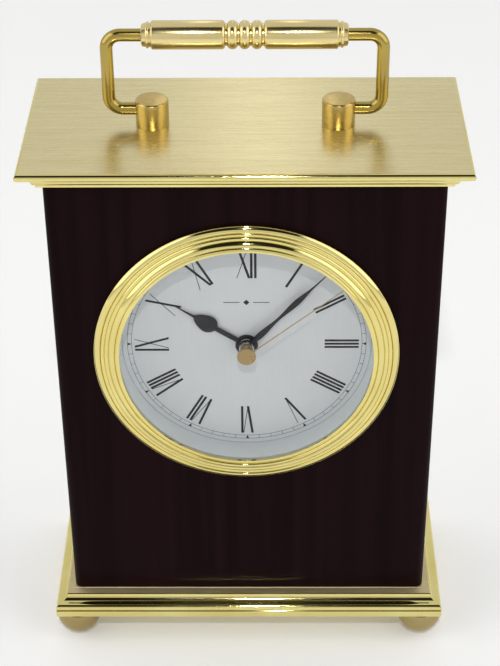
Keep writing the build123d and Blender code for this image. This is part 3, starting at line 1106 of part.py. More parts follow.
with BuildPart() as hinge_leaves_frame:
    for centre_z in HINGE_CENTRES:
        hinge_leaf(-1, centre_z, (0, 2))
        upright(HINGE_PIN_RADIUS, centre_z - HINGE_LENGTH / 2, centre_z + HINGE_LENGTH / 2, HINGE_X, HINGE_Y,
                mode=Mode.SUBTRACT)
hinge_leaves_frame.part.label = "hinge_leaves_frame"
export_step(hinge_leaves_frame.part, "parts/hinge_leaves_frame.step")

with BuildPart() as hinge_leaves_door:
    for centre_z in HINGE_CENTRES:
        hinge_leaf(1, centre_z, (1,))
        upright(HINGE_PIN_RADIUS + JOINT_PLAY, centre_z - HINGE_LENGTH / 2, centre_z + HINGE_LENGTH / 2,
                HINGE_X, HINGE_Y, mode=Mode.SUBTRACT)
hinge_leaves_door.part.label = "hinge_leaves_door"
export_step(hinge_leaves_door.part, "parts/hinge_leaves_door.step")

with BuildPart() as hinge_pins:
    for centre_z in HINGE_CENTRES:
        upright(HINGE_PIN_RADIUS, centre_z - HINGE_LENGTH / 2, centre_z + HINGE_LENGTH / 2, HINGE_X, HINGE_Y)
hinge_pins.part.label = "hinge_pins"
export_step(hinge_pins.part, "parts/hinge_pins.step")

with BuildPart() as back_door:
    block(-DOOR_WIDTH / 2, DOOR_WIDTH / 2, DOOR_INNER_Y, BACK_Y, DOOR_RISE - DOOR_HEIGHT / 2,
          DOOR_RISE + DOOR_HEIGHT / 2)
    rod(M3_RADIUS, DOOR_INNER_Y + DOOR_THICKNESS / 2, BACK_Y, KNOB_X, DOOR_RISE - CENTRE_Z,
        mode=Mode.SUBTRACT)
    block(STRIKE_RIGHT - MAGNET_WIDTH, STRIKE_RIGHT, DOOR_INNER_Y, DOOR_INNER_Y + STRIKE_THICKNESS,
          DOOR_RISE - MAGNET_HEIGHT / 2, DOOR_RISE + MAGNET_HEIGHT / 2, mode=Mode.SUBTRACT)
back_door.part.label = "back_door"
export_step(back_door.part, "parts/back_door.step")

with BuildPart() as door_strike_plate:
    block(STRIKE_RIGHT - MAGNET_WIDTH, STRIKE_RIGHT, DOOR_INNER_Y, DOOR_INNER_Y + STRIKE_THICKNESS,
          DOOR_RISE - MAGNET_HEIGHT / 2, DOOR_RISE + MAGNET_HEIGHT / 2)
door_strike_plate.part.label = "door_strike_plate"
export_step(door_strike_plate.part, "parts/door_strike_plate.step")

with BuildPart() as door_magnet:
    block(MAGNET_LEFT, MAGNET_RIGHT, BACK_INNER_Y - MAGNET_DEPTH, MAGNET_FACE_Y,
          DOOR_RISE - MAGNET_HEIGHT / 2, DOOR_RISE + MAGNET_HEIGHT / 2)
    block(MAGNET_RIGHT, OPENING_X + MAGNET_FOOT, BACK_INNER_Y - MAGNET_DEPTH, BACK_INNER_Y,
          DOOR_RISE - MAGNET_HEIGHT / 2, DOOR_RISE + MAGNET_HEIGHT / 2)
door_magnet.part.label = "door_magnet"
export_step(door_magnet.part, "parts/door_magnet.step")

with BuildPart() as door_knob:
    knob_plane = Plane((KNOB_X, BACK_Y, DOOR_RISE), x_dir=(1, 0, 0), z_dir=(0, 0, 1))
    with BuildSketch(knob_plane) as knob_section:
        with BuildLine() as knob_edge:
            stem = Polyline((0, DOOR_KNOB_LENGTH), (0, 0), (DOOR_KNOB_FOOT, 0),
                            (DOOR_KNOB_FOOT, DOOR_KNOB_FOOT_LENGTH),
                            (DOOR_KNOB_NECK, DOOR_KNOB_NECK_PLACE))
            head = ThreePointArc(stem @ 1, (DOOR_KNOB_RADIUS, DOOR_KNOB_WIDEST),
                                 (DOOR_KNOB_NECK, DOOR_KNOB_LENGTH))
            Line(head @ 1, stem @ 0)
        make_face()
    revolve(axis=Axis((KNOB_X, BACK_Y, DOOR_RISE), (0, 1, 0)), revolution_arc=360)
    rod(M3_RADIUS, DOOR_INNER_Y + DOOR_THICKNESS / 2, BACK_Y + SLOT_DEPTH, KNOB_X, DOOR_RISE - CENTRE_Z)
door_knob.part.label = "door_knob"
export_step(door_knob.part, "parts/door_knob.step")
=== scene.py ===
"""Carriage clock: fine meshes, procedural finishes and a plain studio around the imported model."""
import logging
from collections.abc import Callable
from dataclasses import dataclass, field
from enum import Enum
from math import acos, atan2, copysign, cos, pi, radians, sin, sqrt

import bmesh
import bpy
from mathutils import Euler, Matrix, Vector


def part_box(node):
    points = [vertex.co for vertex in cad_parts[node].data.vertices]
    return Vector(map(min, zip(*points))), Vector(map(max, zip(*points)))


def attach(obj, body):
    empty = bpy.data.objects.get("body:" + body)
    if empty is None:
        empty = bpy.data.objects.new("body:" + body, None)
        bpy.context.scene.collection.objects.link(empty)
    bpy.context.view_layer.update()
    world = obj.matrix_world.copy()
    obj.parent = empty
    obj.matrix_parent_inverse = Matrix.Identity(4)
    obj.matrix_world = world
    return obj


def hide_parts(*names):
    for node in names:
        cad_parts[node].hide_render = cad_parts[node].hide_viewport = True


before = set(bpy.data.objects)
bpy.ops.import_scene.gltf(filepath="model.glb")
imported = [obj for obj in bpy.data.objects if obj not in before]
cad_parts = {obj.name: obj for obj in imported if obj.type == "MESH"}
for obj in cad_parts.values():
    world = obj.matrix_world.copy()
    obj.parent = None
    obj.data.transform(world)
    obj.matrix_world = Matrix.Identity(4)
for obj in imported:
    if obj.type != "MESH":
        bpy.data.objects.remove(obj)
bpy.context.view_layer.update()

log = logging.getLogger("carriage_clock")

MM = 0.001
Triple = tuple[float, float, float]
Point = tuple[float, float]
Profile = list[Point]
Socket = bpy.types.NodeSocket
ShapeNode = bpy.types.Node
Material = bpy.types.Material
Mesh = bpy.types.Mesh
Piece = bpy.types.Object
WorkMesh = bmesh.types.BMesh


class Turning(Enum):
    """Direction of a turned piece's axis, as the rotation that brings +Z onto it."""

    UP = Euler((0.0, 0.0, 0.0))
    FRONT_TO_BACK = Euler((-pi / 2, 0.0, 0.0))
    LEFT_TO_RIGHT = Euler((0.0, pi / 2, 0.0))


class Grain(Enum):
    """Scale of a streaked pattern along X, Y and Z: small along the streaks."""

    ALONG_X = (0.02, 1.0, 1.0)
    ALONG_Y = (1.0, 0.02, 1.0)
    ALONG_Z = (1.0, 1.0, 0.02)
    EVEN = (1.0, 1.0, 1.0)


class Stroke(Enum):
    """Width of a printed stroke, in metres."""

    THICK = 0.70 * MM
    THIN = 0.20 * MM


# ---------------------------------------------------------------- shader helpers
class ShaderGraph:
    """A material with one Principled shader, and the few nodes that the finishes share."""

    def __init__(self, name: str) -> None:
        """Make an empty material.

        Args:
            name: the material's name.
        """
        self.material = bpy.data.materials.new(name)
        self.material.use_nodes = True
        self.tree = self.material.node_tree
        self.tree.nodes.clear()
        self.surface = self.tree.nodes.new("ShaderNodeBsdfPrincipled")
        output = self.tree.nodes.new("ShaderNodeOutputMaterial")
        self.tree.links.new(self.surface.outputs["BSDF"], output.inputs["Surface"])
        self.position = self.tree.nodes.new("ShaderNodeTexCoord").outputs["Object"]

    def fix(self, **sockets: float | Triple) -> None:
        """Set uniform values on the shader's own sockets.

        Args:
            sockets: socket names, with underscores for spaces, and their values.
        """
        for name, value in sockets.items():
            socket = self.surface.inputs[name.replace("_", " ")]
            socket.default_value = (*value, 1.0) if isinstance(value, tuple) else value

    def drive(self, socket: str, source: Socket) -> None:
        """Link a pattern to one of the shader's sockets.

        Args:
            socket: the shader's socket.
            source: the pattern.
        """
        self.tree.links.new(source, self.surface.inputs[socket])

    def placed(self, stretch: Triple, centre: Vector | None = None) -> Socket:
        """Object coordinates, moved to a centre and stretched.

        Args:
            stretch: scale of the pattern along each axis.
            centre: the point that becomes the pattern's origin.

        Returns:
            The coordinates' socket.
        """
        source = self.position
        if centre is not None:
            shift = self.tree.nodes.new("ShaderNodeVectorMath")
            shift.operation = "SUBTRACT"
            self.tree.links.new(source, shift.inputs[0])
            shift.inputs[1].default_value = centre
            source = shift.outputs["Vector"]
        mapping = self.tree.nodes.new("ShaderNodeMapping")
        self.tree.links.new(source, mapping.inputs["Vector"])
        mapping.inputs["Scale"].default_value = stretch
        return mapping.outputs["Vector"]

    def noise(self, scale: float, detail: float = 3.0, grain: Grain = Grain.EVEN,
              distortion: float = 0.0, centre: Vector | None = None) -> Socket:
        """Noise in metres.

        Args:
            scale: cycles per metre.
            detail: octaves of finer noise.
            grain: direction of the streaks.
            distortion: how far the pattern is warped.
            centre: the pattern's origin.

        Returns:
            The noise's factor.
        """
        node = self.tree.nodes.new("ShaderNodeTexNoise")
        self.tree.links.new(self.placed(grain.value, centre), node.inputs["Vector"])
        node.inputs["Scale"].default_value = scale
        node.inputs["Detail"].default_value = detail
        node.inputs["Distortion"].default_value = distortion
        return node.outputs["Fac"]

    def ramp(self, factor: Socket, low: Triple, high: Triple,
             start: float = 0.3, end: float = 0.7) -> Socket:
        """Blend of two colours by a factor.

        Args:
            factor: the pattern.
            low: colour below start.
            high: colour above end.
            start: factor where the blend starts.
            end: factor where it ends.

        Returns:
            The colour's socket.
        """
        node = self.tree.nodes.new("ShaderNodeValToRGB")
        node.color_ramp.elements[0].position = start
        node.color_ramp.elements[0].color = (*low, 1.0)
        node.color_ramp.elements[1].position = end
        node.color_ramp.elements[1].color = (*high, 1.0)
        self.tree.links.new(factor, node.inputs["Fac"])
        return node.outputs["Color"]

    def span(self, factor: Socket, low: float, high: float,
             start: float = 0.3, end: float = 0.7) -> Socket:
        """Number between two values by a factor.

        Args:
            factor: the pattern.
            low: value at start.
            high: value at end.
            start: factor that gives the low value.
            end: factor that gives the high value.

        Returns:
            The value's socket.
        """
        node = self.tree.nodes.new("ShaderNodeMapRange")
        self.tree.links.new(factor, node.inputs["Value"])
        for name, value in (("From Min", start), ("From Max", end), ("To Min", low), ("To Max", high)):
            node.inputs[name].default_value = value
        return node.outputs["Result"]

    def sum(self, first: Socket, second: Socket, share: float) -> Socket:
        """Add a share of one pattern to another.

        Args:
            first: the pattern that stays whole.
            second: the pattern that is added.
            share: how much of it is added.

        Returns:
            The sum.
        """
        node = self.tree.nodes.new("ShaderNodeMath")
        node.operation = "MULTIPLY_ADD"
        self.tree.links.new(second, node.inputs[0])
        node.inputs[1].default_value = share
        self.tree.links.new(first, node.inputs[2])
        return node.outputs["Value"]

    def relief(self, height: Socket, strength: float, depth: float) -> None:
        """Bump the surface.

        Args:
            height: the pattern that is high where the surface is high.
            strength: share of the bump that shows.
            depth: height of the relief, in metres.
        """
        node = self.tree.nodes.new("ShaderNodeBump")
        node.inputs["Strength"].default_value = strength
        node.inputs["Distance"].default_value = depth
        self.tree.links.new(height, node.inputs["Height"])
        self.tree.links.new(node.outputs["Normal"], self.surface.inputs["Normal"])


# ---------------------------------------------------------------- finishes
@dataclass(frozen=True)
class PolishedBrass:
    """Buffed and lacquered brass with a faint haze."""

    name: str = "polished_brass"
    pale: Triple = (0.80, 0.71, 0.30)
    deep: Triple = (0.72, 0.61, 0.225)
    gloss: float = 0.03
    haze: float = 0.08
    cloud_scale: float = 60.0
    hairline_scale: float = 2600.0
    hairline_share: float = 0.25
    hairline_strength: float = 0.05
    hairline_depth: float = 0.01 * MM

    def build(self) -> Material:
        """Build the material.

        Returns:
            The material.
        """
        graph = ShaderGraph(self.name)
        cloud = graph.noise(self.cloud_scale, 4.0)
        hairline = graph.noise(self.hairline_scale, 2.0)
        both = graph.sum(cloud, hairline, self.hairline_share)
        graph.drive("Base Color", graph.ramp(cloud, self.deep, self.pale))
        graph.drive("Roughness", graph.span(both, self.gloss, self.haze, 0.4, 0.9))
        graph.relief(hairline, self.hairline_strength, self.hairline_depth)
        graph.fix(Metallic=1.0)
        return graph.material


@dataclass(frozen=True)
class BrushedBrass:
    """Lacquered brass with straight brush marks."""

    name: str
    grain: Grain
    pale: Triple = (0.78, 0.69, 0.395)
    deep: Triple = (0.66, 0.57, 0.30)
    coarse: float = 2200.0
    fine: float = 8000.0
    smooth: float = 0.20
    rough: float = 0.34
    fine_share: float = 0.6
    strength: float = 0.35
    depth: float = 0.012 * MM

    def build(self) -> Material:
        """Build the material.

        Returns:
            The material.
        """
        graph = ShaderGraph(self.name)
        broad = graph.noise(self.coarse, 3.0, self.grain)
        marks = graph.noise(self.fine, 4.0, self.grain)
        both = graph.sum(broad, marks, self.fine_share)
        graph.drive("Base Color", graph.ramp(both, self.deep, self.pale, 0.55, 1.05))
        graph.drive("Roughness", graph.span(marks, self.smooth, self.rough))
        graph.relief(both, self.strength, self.depth)
        graph.fix(Metallic=1.0)
        return graph.material


@dataclass(frozen=True)
class LacqueredWood:
    """Dark rosewood stain with an open vertical grain under satin lacquer."""

    name: str
    grain: Grain = Grain.ALONG_Z
    dark: Triple = (0.0045, 0.0010, 0.0014)
    light: Triple = (0.0110, 0.0030, 0.0042)
    figure_scale: float = 110.0
    figure_warp: float = 1.2
    pore_scale: float = 1500.0
    pore_share: float = 0.35
    pore_strength: float = 0.12
    pore_depth: float = 0.03 * MM
    lacquer: float = 0.035

    def build(self) -> Material:
        """Build the material.

        Returns:
            The material.
        """
        graph = ShaderGraph(self.name)
        figure = graph.noise(self.figure_scale, 6.0, self.grain, distortion=self.figure_warp)
        pores = graph.noise(self.pore_scale, 3.0, self.grain)
        both = graph.sum(figure, pores, self.pore_share)
        graph.drive("Base Color", graph.ramp(both, self.dark, self.light, 0.45, 0.9))
        graph.drive("Roughness", graph.span(pores, 0.38, 0.5))
        graph.relief(pores, self.pore_strength, self.pore_depth)
        graph.fix(Coat_Weight=self.lacquer, Coat_Roughness=0.2, Specular_IOR_Level=0.02)
        return graph.material


@dataclass(frozen=True)
class ClearGlass:
    """Thin clear pane that lets light through."""

    name: str = "clear_glass"
    smear_scale: float = 70.0
    tint: Triple = (0.02, 0.025, 0.025)
    cover: float = 0.05

    def build(self) -> Material:
        """Build the material.

        Returns:
            The material.
        """
        graph = ShaderGraph(self.name)
        smear = graph.noise(self.smear_scale, 3.0)
        graph.drive("Roughness", graph.span(smear, 0.01, 0.05))
        graph.fix(Base_Color=self.tint, Alpha=self.cover, IOR=1.5)
        return graph.material


@dataclass(frozen=True)
class SilveredDial:
    """Satin silver-white dial with a fine vertical brush."""

    name: str = "silvered_dial"
    light: Triple = (0.66, 0.69, 0.705)
    shade: Triple = (0.635, 0.665, 0.68)
    brush_scale: float = 2400.0
    brush_strength: float = 0.06
    brush_depth: float = 0.01 * MM

    def build(self) -> Material:
        """Build the material.

        Returns:
            The material.
        """
        graph = ShaderGraph(self.name)
        brush = graph.noise(self.brush_scale, 3.0, Grain.ALONG_Z)
        graph.drive("Base Color", graph.ramp(brush, self.shade, self.light))
        graph.drive("Roughness", graph.span(brush, 0.5, 0.62))
        graph.relief(brush, self.brush_strength, self.brush_depth)
        graph.fix(Metallic=0.0, Specular_IOR_Level=0.3)
        return graph.material


@dataclass(frozen=True)
class Painted:
    """Paint, ink, plastic or plating with a slight mottle."""

    name: str
    light: Triple
    dark: Triple
    scale: float = 900.0
    smooth: float = 0.35
    rough: float = 0.5
    metallic: float = 0.0
    depth: float = 0.01 * MM
    strength: float = 0.1
    grain: Grain = Grain.EVEN
    glow: float = 0.0

    def build(self) -> Material:
        """Build the material.

        Returns:
            The material.
        """
        graph = ShaderGraph(self.name)
        mottle = graph.noise(self.scale, 4.0, self.grain)
        graph.drive("Base Color", graph.ramp(mottle, self.dark, self.light))
        graph.drive("Roughness", graph.span(mottle, self.smooth, self.rough))
        graph.relief(mottle, self.strength, self.depth)
        graph.fix(Metallic=self.metallic, Emission_Color=self.light, Emission_Strength=self.glow)
        return graph.material


@dataclass(frozen=True)
class BandedCell:
    """Printed battery jacket: one end dark, the other copper coloured, by place along X."""

    name: str = "cell_jacket"
    border: float = 6.0 * MM
    blend: float = 0.2 * MM
    dark_end: Triple = (0.015, 0.015, 0.018)
    copper_end: Triple = (0.55, 0.25, 0.10)
    scuff_scale: float = 500.0

    def build(self) -> Material:
        """Build the material.

        Returns:
            The material.
        """
        graph = ShaderGraph(self.name)
        split = graph.tree.nodes.new("ShaderNodeSeparateXYZ")
        graph.tree.links.new(graph.position, split.inputs["Vector"])
        edge = graph.span(split.outputs["X"], 0.0, 1.0, self.border, self.border + self.blend)
        graph.drive("Base Color", graph.ramp(edge, self.dark_end, self.copper_end, 0.45, 0.55))
        graph.drive("Roughness", graph.span(graph.noise(self.scuff_scale), 0.22, 0.34))
        graph.fix(Metallic=0.6, Coat_Weight=0.5)
        return graph.material


class Finishes:
    """Every finish of the clock, built once."""

    def __init__(self) -> None:
        """Build the materials."""
        self.polished = PolishedBrass().build()
        self.brushed_top = BrushedBrass("brushed_brass_top", Grain.ALONG_X).build()
        self.satin = BrushedBrass("satin_brass", Grain.EVEN, pale=(0.60, 0.45, 0.17),
                                  deep=(0.52, 0.375, 0.12), coarse=900.0, smooth=0.2, rough=0.3,
                                  depth=0.002 * MM).build()
        self.grip = PolishedBrass("grip_brass", pale=(0.80, 0.67, 0.34), deep=(0.72, 0.58, 0.26),
                                  gloss=0.15, haze=0.24).build()
        # Bail arms: the grip's brass made darker, painted shade for the darker surroundings that the arms
        # see.
        self.bail = PolishedBrass("bail_brass_painted_shade", pale=(0.45, 0.34, 0.09), deep=(0.38, 0.28, 0.07),
                                  gloss=0.12, haze=0.2).build()
        # Ball feet: the same brass made darker, painted shade for where they sit under the base.
        self.foot = PolishedBrass("foot_brass_painted_shade", pale=(0.42, 0.335, 0.15), deep=(0.365, 0.28, 0.12)).build()
        self.strip = BrushedBrass("brushed_strip", Grain.ALONG_X, pale=(0.72, 0.62, 0.38),
                                  deep=(0.60, 0.50, 0.28), smooth=0.5, rough=0.62).build()
        self.wood = LacqueredWood("rosewood_upright").build()
        self.wood_across = LacqueredWood("rosewood_across", Grain.ALONG_X).build()
        self.glass = ClearGlass().build()
        self.dial = SilveredDial().build()
        self.ink = Painted("printing_ink", (0.012, 0.014, 0.015), (0.006, 0.007, 0.008),
                           smooth=0.45, rough=0.6).build()
        self.hand_paint = Painted("hand_enamel", (0.010, 0.011, 0.012), (0.006, 0.006, 0.007),
                                  scale=300.0, smooth=0.28, rough=0.4, depth=0.004 * MM).build()
        self.nickel = Painted("nickel_plate", (0.62, 0.60, 0.58), (0.48, 0.47, 0.46),
                              scale=1500.0, smooth=0.22, rough=0.36, metallic=1.0).build()
        self.zinc = Painted("zinc_plate", (0.62, 0.62, 0.60), (0.45, 0.46, 0.47),
                            scale=500.0, smooth=0.28, rough=0.42, metallic=1.0).build()
        self.plastic = Painted("moulded_black", (0.022, 0.022, 0.024), (0.015, 0.015, 0.017),
                               scale=3500.0, smooth=0.45, rough=0.58, strength=0.3).build()
        self.gear = Painted("moulded_ivory", (0.78, 0.75, 0.66), (0.70, 0.67, 0.58), scale=700.0).build()
        self.ferrite = Painted("ferrite", (0.06, 0.06, 0.065), (0.03, 0.03, 0.033),
                               scale=2500.0, smooth=0.5, rough=0.7).build()
        self.copper = Painted("copper_winding", (0.60, 0.24, 0.10), (0.36, 0.12, 0.05),
                              scale=5200.0, smooth=0.2, rough=0.35, metallic=0.8, depth=0.06 * MM,
                              strength=0.6, grain=Grain.ALONG_Y).build()
        self.mask = Painted("solder_mask", (0.02, 0.16, 0.07), (0.012, 0.10, 0.045), scale=1800.0).build()
        self.cell = BandedCell().build()
        # Second hand: brass made darker, painted shade to offset the bright overhead it reflects.
        self.sweep = PolishedBrass("second_hand_brass_painted_shade", pale=(0.46, 0.34, 0.17),
                                   deep=(0.36, 0.25, 0.11), gloss=0.22, haze=0.36).build()


# ---------------------------------------------------------------- mesh helpers
def finished(name: str, mesh: Mesh, material: Material, sharp: float = 32.0) -> Piece:
    """Clean a mesh, shade it and put it in the scene at the origin.

    Args:
        name: the piece's name.
        mesh: its mesh, in place.
        material: its finish.
        sharp: angle in degrees above which an edge stays sharp.

    Returns:
        The new object.
    """
    work = bmesh.new()
    work.from_mesh(mesh)
    bmesh.ops.remove_doubles(work, verts=work.verts, dist=1e-7)
    bmesh.ops.recalc_face_normals(work, faces=work.faces)
    work.to_mesh(mesh)
    work.free()
    mesh.materials.clear()
    mesh.materials.append(material)
    mesh.polygons.foreach_set("use_smooth", [True] * len(mesh.polygons))
    mesh.polygons.foreach_set("material_index", [0] * len(mesh.polygons))
    mesh.set_sharp_from_angle(angle=radians(sharp))
    mesh.update()
    piece = bpy.data.objects.new(name, mesh)
    bpy.context.scene.collection.objects.link(piece)
    return piece


def stands_for(piece: Piece, body: str, slot: str, *nodes: str) -> Piece:
    """Put a piece on its body, and let it stand for its CAD nodes.

    Args:
        piece: the new piece.
        body: the body that it rides on.
        slot: its material slot; not used.
        nodes: the CAD nodes that it replaces.

    Returns:
        The piece.
    """
    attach(piece, body)
    if nodes:
        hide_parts(*nodes)
    log.info("%s: %d faces on %s", piece.name, len(piece.data.polygons), body)
    return piece


def arc(start: Point, middle: Point, end: Point, count: int) -> Profile:
    """Points on the circle through three points, without the first.

    Args:
        start: first point.
        middle: a point on the arc.
        end: last point.
        count: number of steps.

    Returns:
        The points after start, up to end.
    """
    (ax, ay), (bx, by), (cx, cy) = start, middle, end
    d = 2 * (ax * (by - cy) + bx * (cy - ay) + cx * (ay - by))
    a2, b2, c2 = ax * ax + ay * ay, bx * bx + by * by, cx * cx + cy * cy
    ox = (a2 * (by - cy) + b2 * (cy - ay) + c2 * (ay - by)) / d
    oy = (a2 * (cx - bx) + b2 * (ax - cx) + c2 * (bx - ax)) / d
    radius = sqrt((ax - ox) ** 2 + (ay - oy) ** 2)
    first, mid, last = (atan2(y - oy, x - ox) for x, y in (start, middle, end))
    turn = (last - first) % (2 * pi)
    if (mid - first) % (2 * pi) > turn:
        turn -= 2 * pi
    return [(ox + radius * cos(first + turn * n / count), oy + radius * sin(first + turn * n / count))
            for n in range(1, count + 1)]


def slab(name: str, section: Profile, box: tuple[Vector, Vector], material: Material) -> Piece:
    """Rectangular slab whose four edges follow one section, mitred at the corners.

    Args:
        name: the piece's name.
        section: (inset, height) from the bottom up, in metres.
        box: lowest and highest corner of the slab.
        material: its finish.

    Returns:
        The new object.
    """
    low, high = box
    middle, half = (low + high) / 2, (high - low) / 2
    corners = ((-1, -1), (1, -1), (1, 1), (-1, 1))
    verts, faces = [], []
    for inset, height in section:
        for sx, sy in corners:
            verts.append((middle.x + sx * (half.x - inset), middle.y + sy * (half.y - inset), height))
    for step in range(len(section) - 1):
        for corner in range(len(corners)):
            a = 4 * step + corner
            b = 4 * step + (corner + 1) % 4
            faces.append((a, b, b + 4, a + 4))
    faces.append((3, 2, 1, 0))
    top = 4 * (len(section) - 1)
    faces.append((top, top + 1, top + 2, top + 3))
    mesh = bpy.data.meshes.new(name)
    mesh.from_pydata(verts, [], faces)
    return finished(name, mesh, material, sharp=25.0)


def eased_copy(name: str, node: str, material: Material, width: float, segments: int = 2,
               sharp: float = 35.0, reshape: Callable[[WorkMesh], None] | None = None) -> Piece:
    """Copy of a CAD node with its sharp edges eased, so that they catch the light.

    Args:
        name: the new piece's name.
        node: the CAD node.
        material: its finish.
        width: width of the easing, in metres.
        segments: steps across the easing.
        sharp: edges that turn by more than this many degrees are eased.
        reshape: change to the copy before its edges are eased.

    Returns:
        The new object.
    """
    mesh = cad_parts[node].data.copy()
    mesh.name = name
    work = bmesh.new()
    work.from_mesh(mesh)
    bmesh.ops.remove_doubles(work, verts=work.verts, dist=2e-7)
    bmesh.ops.dissolve_limit(work, angle_limit=radians(0.5), verts=work.verts, edges=work.edges)
    if reshape is not None:
        reshape(work)
    edges = [e for e in work.edges if len(e.link_faces) == 2 and e.calc_face_angle(0.0) > radians(sharp)]
    bmesh.ops.bevel(work, geom=edges, offset=width, segments=segments, profile=0.5, affect="EDGES",
                    clamp_overlap=True)
    bmesh.ops.triangulate(work, faces=[f for f in work.faces if len(f.verts) > 4])
    work.to_mesh(mesh)
    work.free()
    if "custom_normal" in mesh.attributes:
        mesh.attributes.remove(mesh.attributes["custom_normal"])
    return finished(name, mesh, material)


# ---------------------------------------------------------------- geometry nodes
class NodeTree:
    """A Geometry Nodes tree with named inputs."""

    def __init__(self, name: str, sizes: dict[str, float], counts: dict[str, int] | None = None) -> None:
        """Make a tree that takes geometry and sizes and gives geometry.

        Args:
            name: the tree's name.
            sizes: names and values of its lengths, in metres.
            counts: names and values of its whole numbers.
        """
        self.tree = bpy.data.node_groups.new(name, "GeometryNodeTree")
        face = self.tree.interface
        face.new_socket(name="Geometry", in_out="INPUT", socket_type="NodeSocketGeometry")
        face.new_socket(name="Geometry", in_out="OUTPUT", socket_type="NodeSocketGeometry")
        self.values: dict[str, float | int | Material] = {**sizes, **(counts or {})}
        for size in sizes:
            face.new_socket(name=size, in_out="INPUT", socket_type="NodeSocketFloat")
        for count in counts or {}:
            face.new_socket(name=count, in_out="INPUT", socket_type="NodeSocketInt")
        face.new_socket(name="Finish", in_out="INPUT", socket_type="NodeSocketMaterial")
        self.source = self.tree.nodes.new("NodeGroupInput")
        self.result = self.tree.nodes.new("NodeGroupOutput")

    def node(self, kind: str, settings: dict[str, str] | None = None, **inputs: object) -> ShapeNode:
        """Add a node.

        Args:
            kind: the node's type.
            settings: properties to set first.
            inputs: socket names, with underscores for spaces; a value, or a socket to link.

        Returns:
            The node.
        """
        node = self.tree.nodes.new(kind)
        for name, value in (settings or {}).items():
            setattr(node, name, value)
        for name, value in inputs.items():
            socket = next(s for s in node.inputs if s.name == name.replace("_", " ") and s.enabled)
            if isinstance(value, Socket):
                self.tree.links.new(value, socket)
            else:
                socket.default_value = value
        return node

    def size(self, name: str) -> Socket:
        """Find a named input.

        Args:
            name: the input's name.

        Returns:
            Its socket.
        """
        return self.source.outputs[name]

    def math(self, operation: str, first: object, second: object) -> Socket:
        """Combine two numbers.

        Args:
            operation: the kind of sum.
            first: a number, or a socket to link.
            second: the same.

        Returns:
            The result's socket.
        """
        node = self.tree.nodes.new("ShaderNodeMath")
        node.operation = operation
        for socket, value in zip(node.inputs, (first, second)):
            if isinstance(value, Socket):
                self.tree.links.new(value, socket)
            else:
                socket.default_value = value
        return node.outputs[0]

    def vector(self, x: object = 0.0, y: object = 0.0, z: object = 0.0) -> Socket:
        """Make a vector.

        Args:
            x: a number, or a socket to link.
            y: the same.
            z: the same.

        Returns:
            The vector's socket.
        """
        return self.node("ShaderNodeCombineXYZ", X=x, Y=y, Z=z).outputs[0]

    def joined(self, *parts: Socket) -> Socket:
        """Join geometry.

        Args:
            parts: the sockets of the geometry to join.

        Returns:
            All of it as one geometry.
        """
        node = self.tree.nodes.new("GeometryNodeJoinGeometry")
        for part in parts:
            self.tree.links.new(part, node.inputs[0])
        return node.outputs[0]

    def mesh(self, name: str, geometry: Socket, material: Material,
             start: Mesh | None = None) -> Mesh:
        """Finish the tree, run it and return a plain mesh.

        Args:
            name: the mesh's name.
            geometry: the socket that gives the shape.
            material: its finish.
            start: mesh that the tree works on.

        Returns:
            The result as a mesh without modifiers.
        """
        real = self.node("GeometryNodeRealizeInstances", Geometry=geometry).outputs[0]
        dressed = self.node("GeometryNodeSetMaterial", Geometry=real, Material=self.size("Finish")).outputs[0]
        self.tree.links.new(dressed, self.result.inputs[0])
        carrier = bpy.data.objects.new(name + "_maker", start or bpy.data.meshes.new(name + "_start"))
        bpy.context.scene.collection.objects.link(carrier)
        modifier = carrier.modifiers.new(name, "NODES")
        modifier.node_group = self.tree
        self.values["Finish"] = material
        for item in self.tree.interface.items_tree:
            if item.in_out == "INPUT" and item.name in self.values:
                modifier[item.identifier] = self.values[item.name]
        bpy.context.view_layer.update()
        evaluated = carrier.evaluated_get(bpy.context.evaluated_depsgraph_get())
        made = bpy.data.meshes.new_from_object(evaluated)
        made.name = name
        carrier.modifiers.remove(modifier)
        bpy.data.objects.remove(carrier)
        return made


def turned(name: str, profile: Profile, centre: Vector, axis: Turning, material: Material,
           closed: bool = False, segments: int = 160, sharp: float = 32.0) -> Piece:
    """Turned piece: a profile carried round its axis by a Geometry Nodes tree.

    Args:
        name: the piece's name.
        profile: (radius, distance along the axis) points, in metres.
        centre: the axis's origin.
        axis: the axis's direction.
        material: its finish.
        closed: whether the profile is a closed ring clear of the axis.
        segments: steps round the axis.
        sharp: angle above which an edge stays sharp.

    Returns:
        The new object.
    """
    path_radius = max(radius for radius, _ in profile)
    edge = bpy.data.meshes.new(name + "_profile")
    links = [(n, n + 1) for n in range(len(profile) - 1)] + ([(len(profile) - 1, 0)] if closed else [])
    edge.from_pydata([(radius - path_radius, -along, 0.0) for radius, along in profile], links, [])
    graph = NodeTree(name + "_turning", {"Path Radius": path_radius, "Weld": 1e-6}, {"Steps": segments})
    profile_curve = graph.node("GeometryNodeMeshToCurve", Mesh=graph.size("Geometry")).outputs["Curve"]
    path = graph.node("GeometryNodeCurvePrimitiveCircle", Resolution=graph.size("Steps"),
                      Radius=graph.size("Path Radius")).outputs["Curve"]
    skin = graph.node("GeometryNodeCurveToMesh", Curve=path, Profile_Curve=profile_curve).outputs["Mesh"]
    welded = graph.node("GeometryNodeMergeByDistance", Geometry=skin, Distance=graph.size("Weld")).outputs[0]
    mesh = graph.mesh(name, welded, material, edge)
    mesh.transform(Matrix.Translation(centre) @ axis.value.to_matrix().to_4x4())
    return finished(name, mesh, material, sharp)


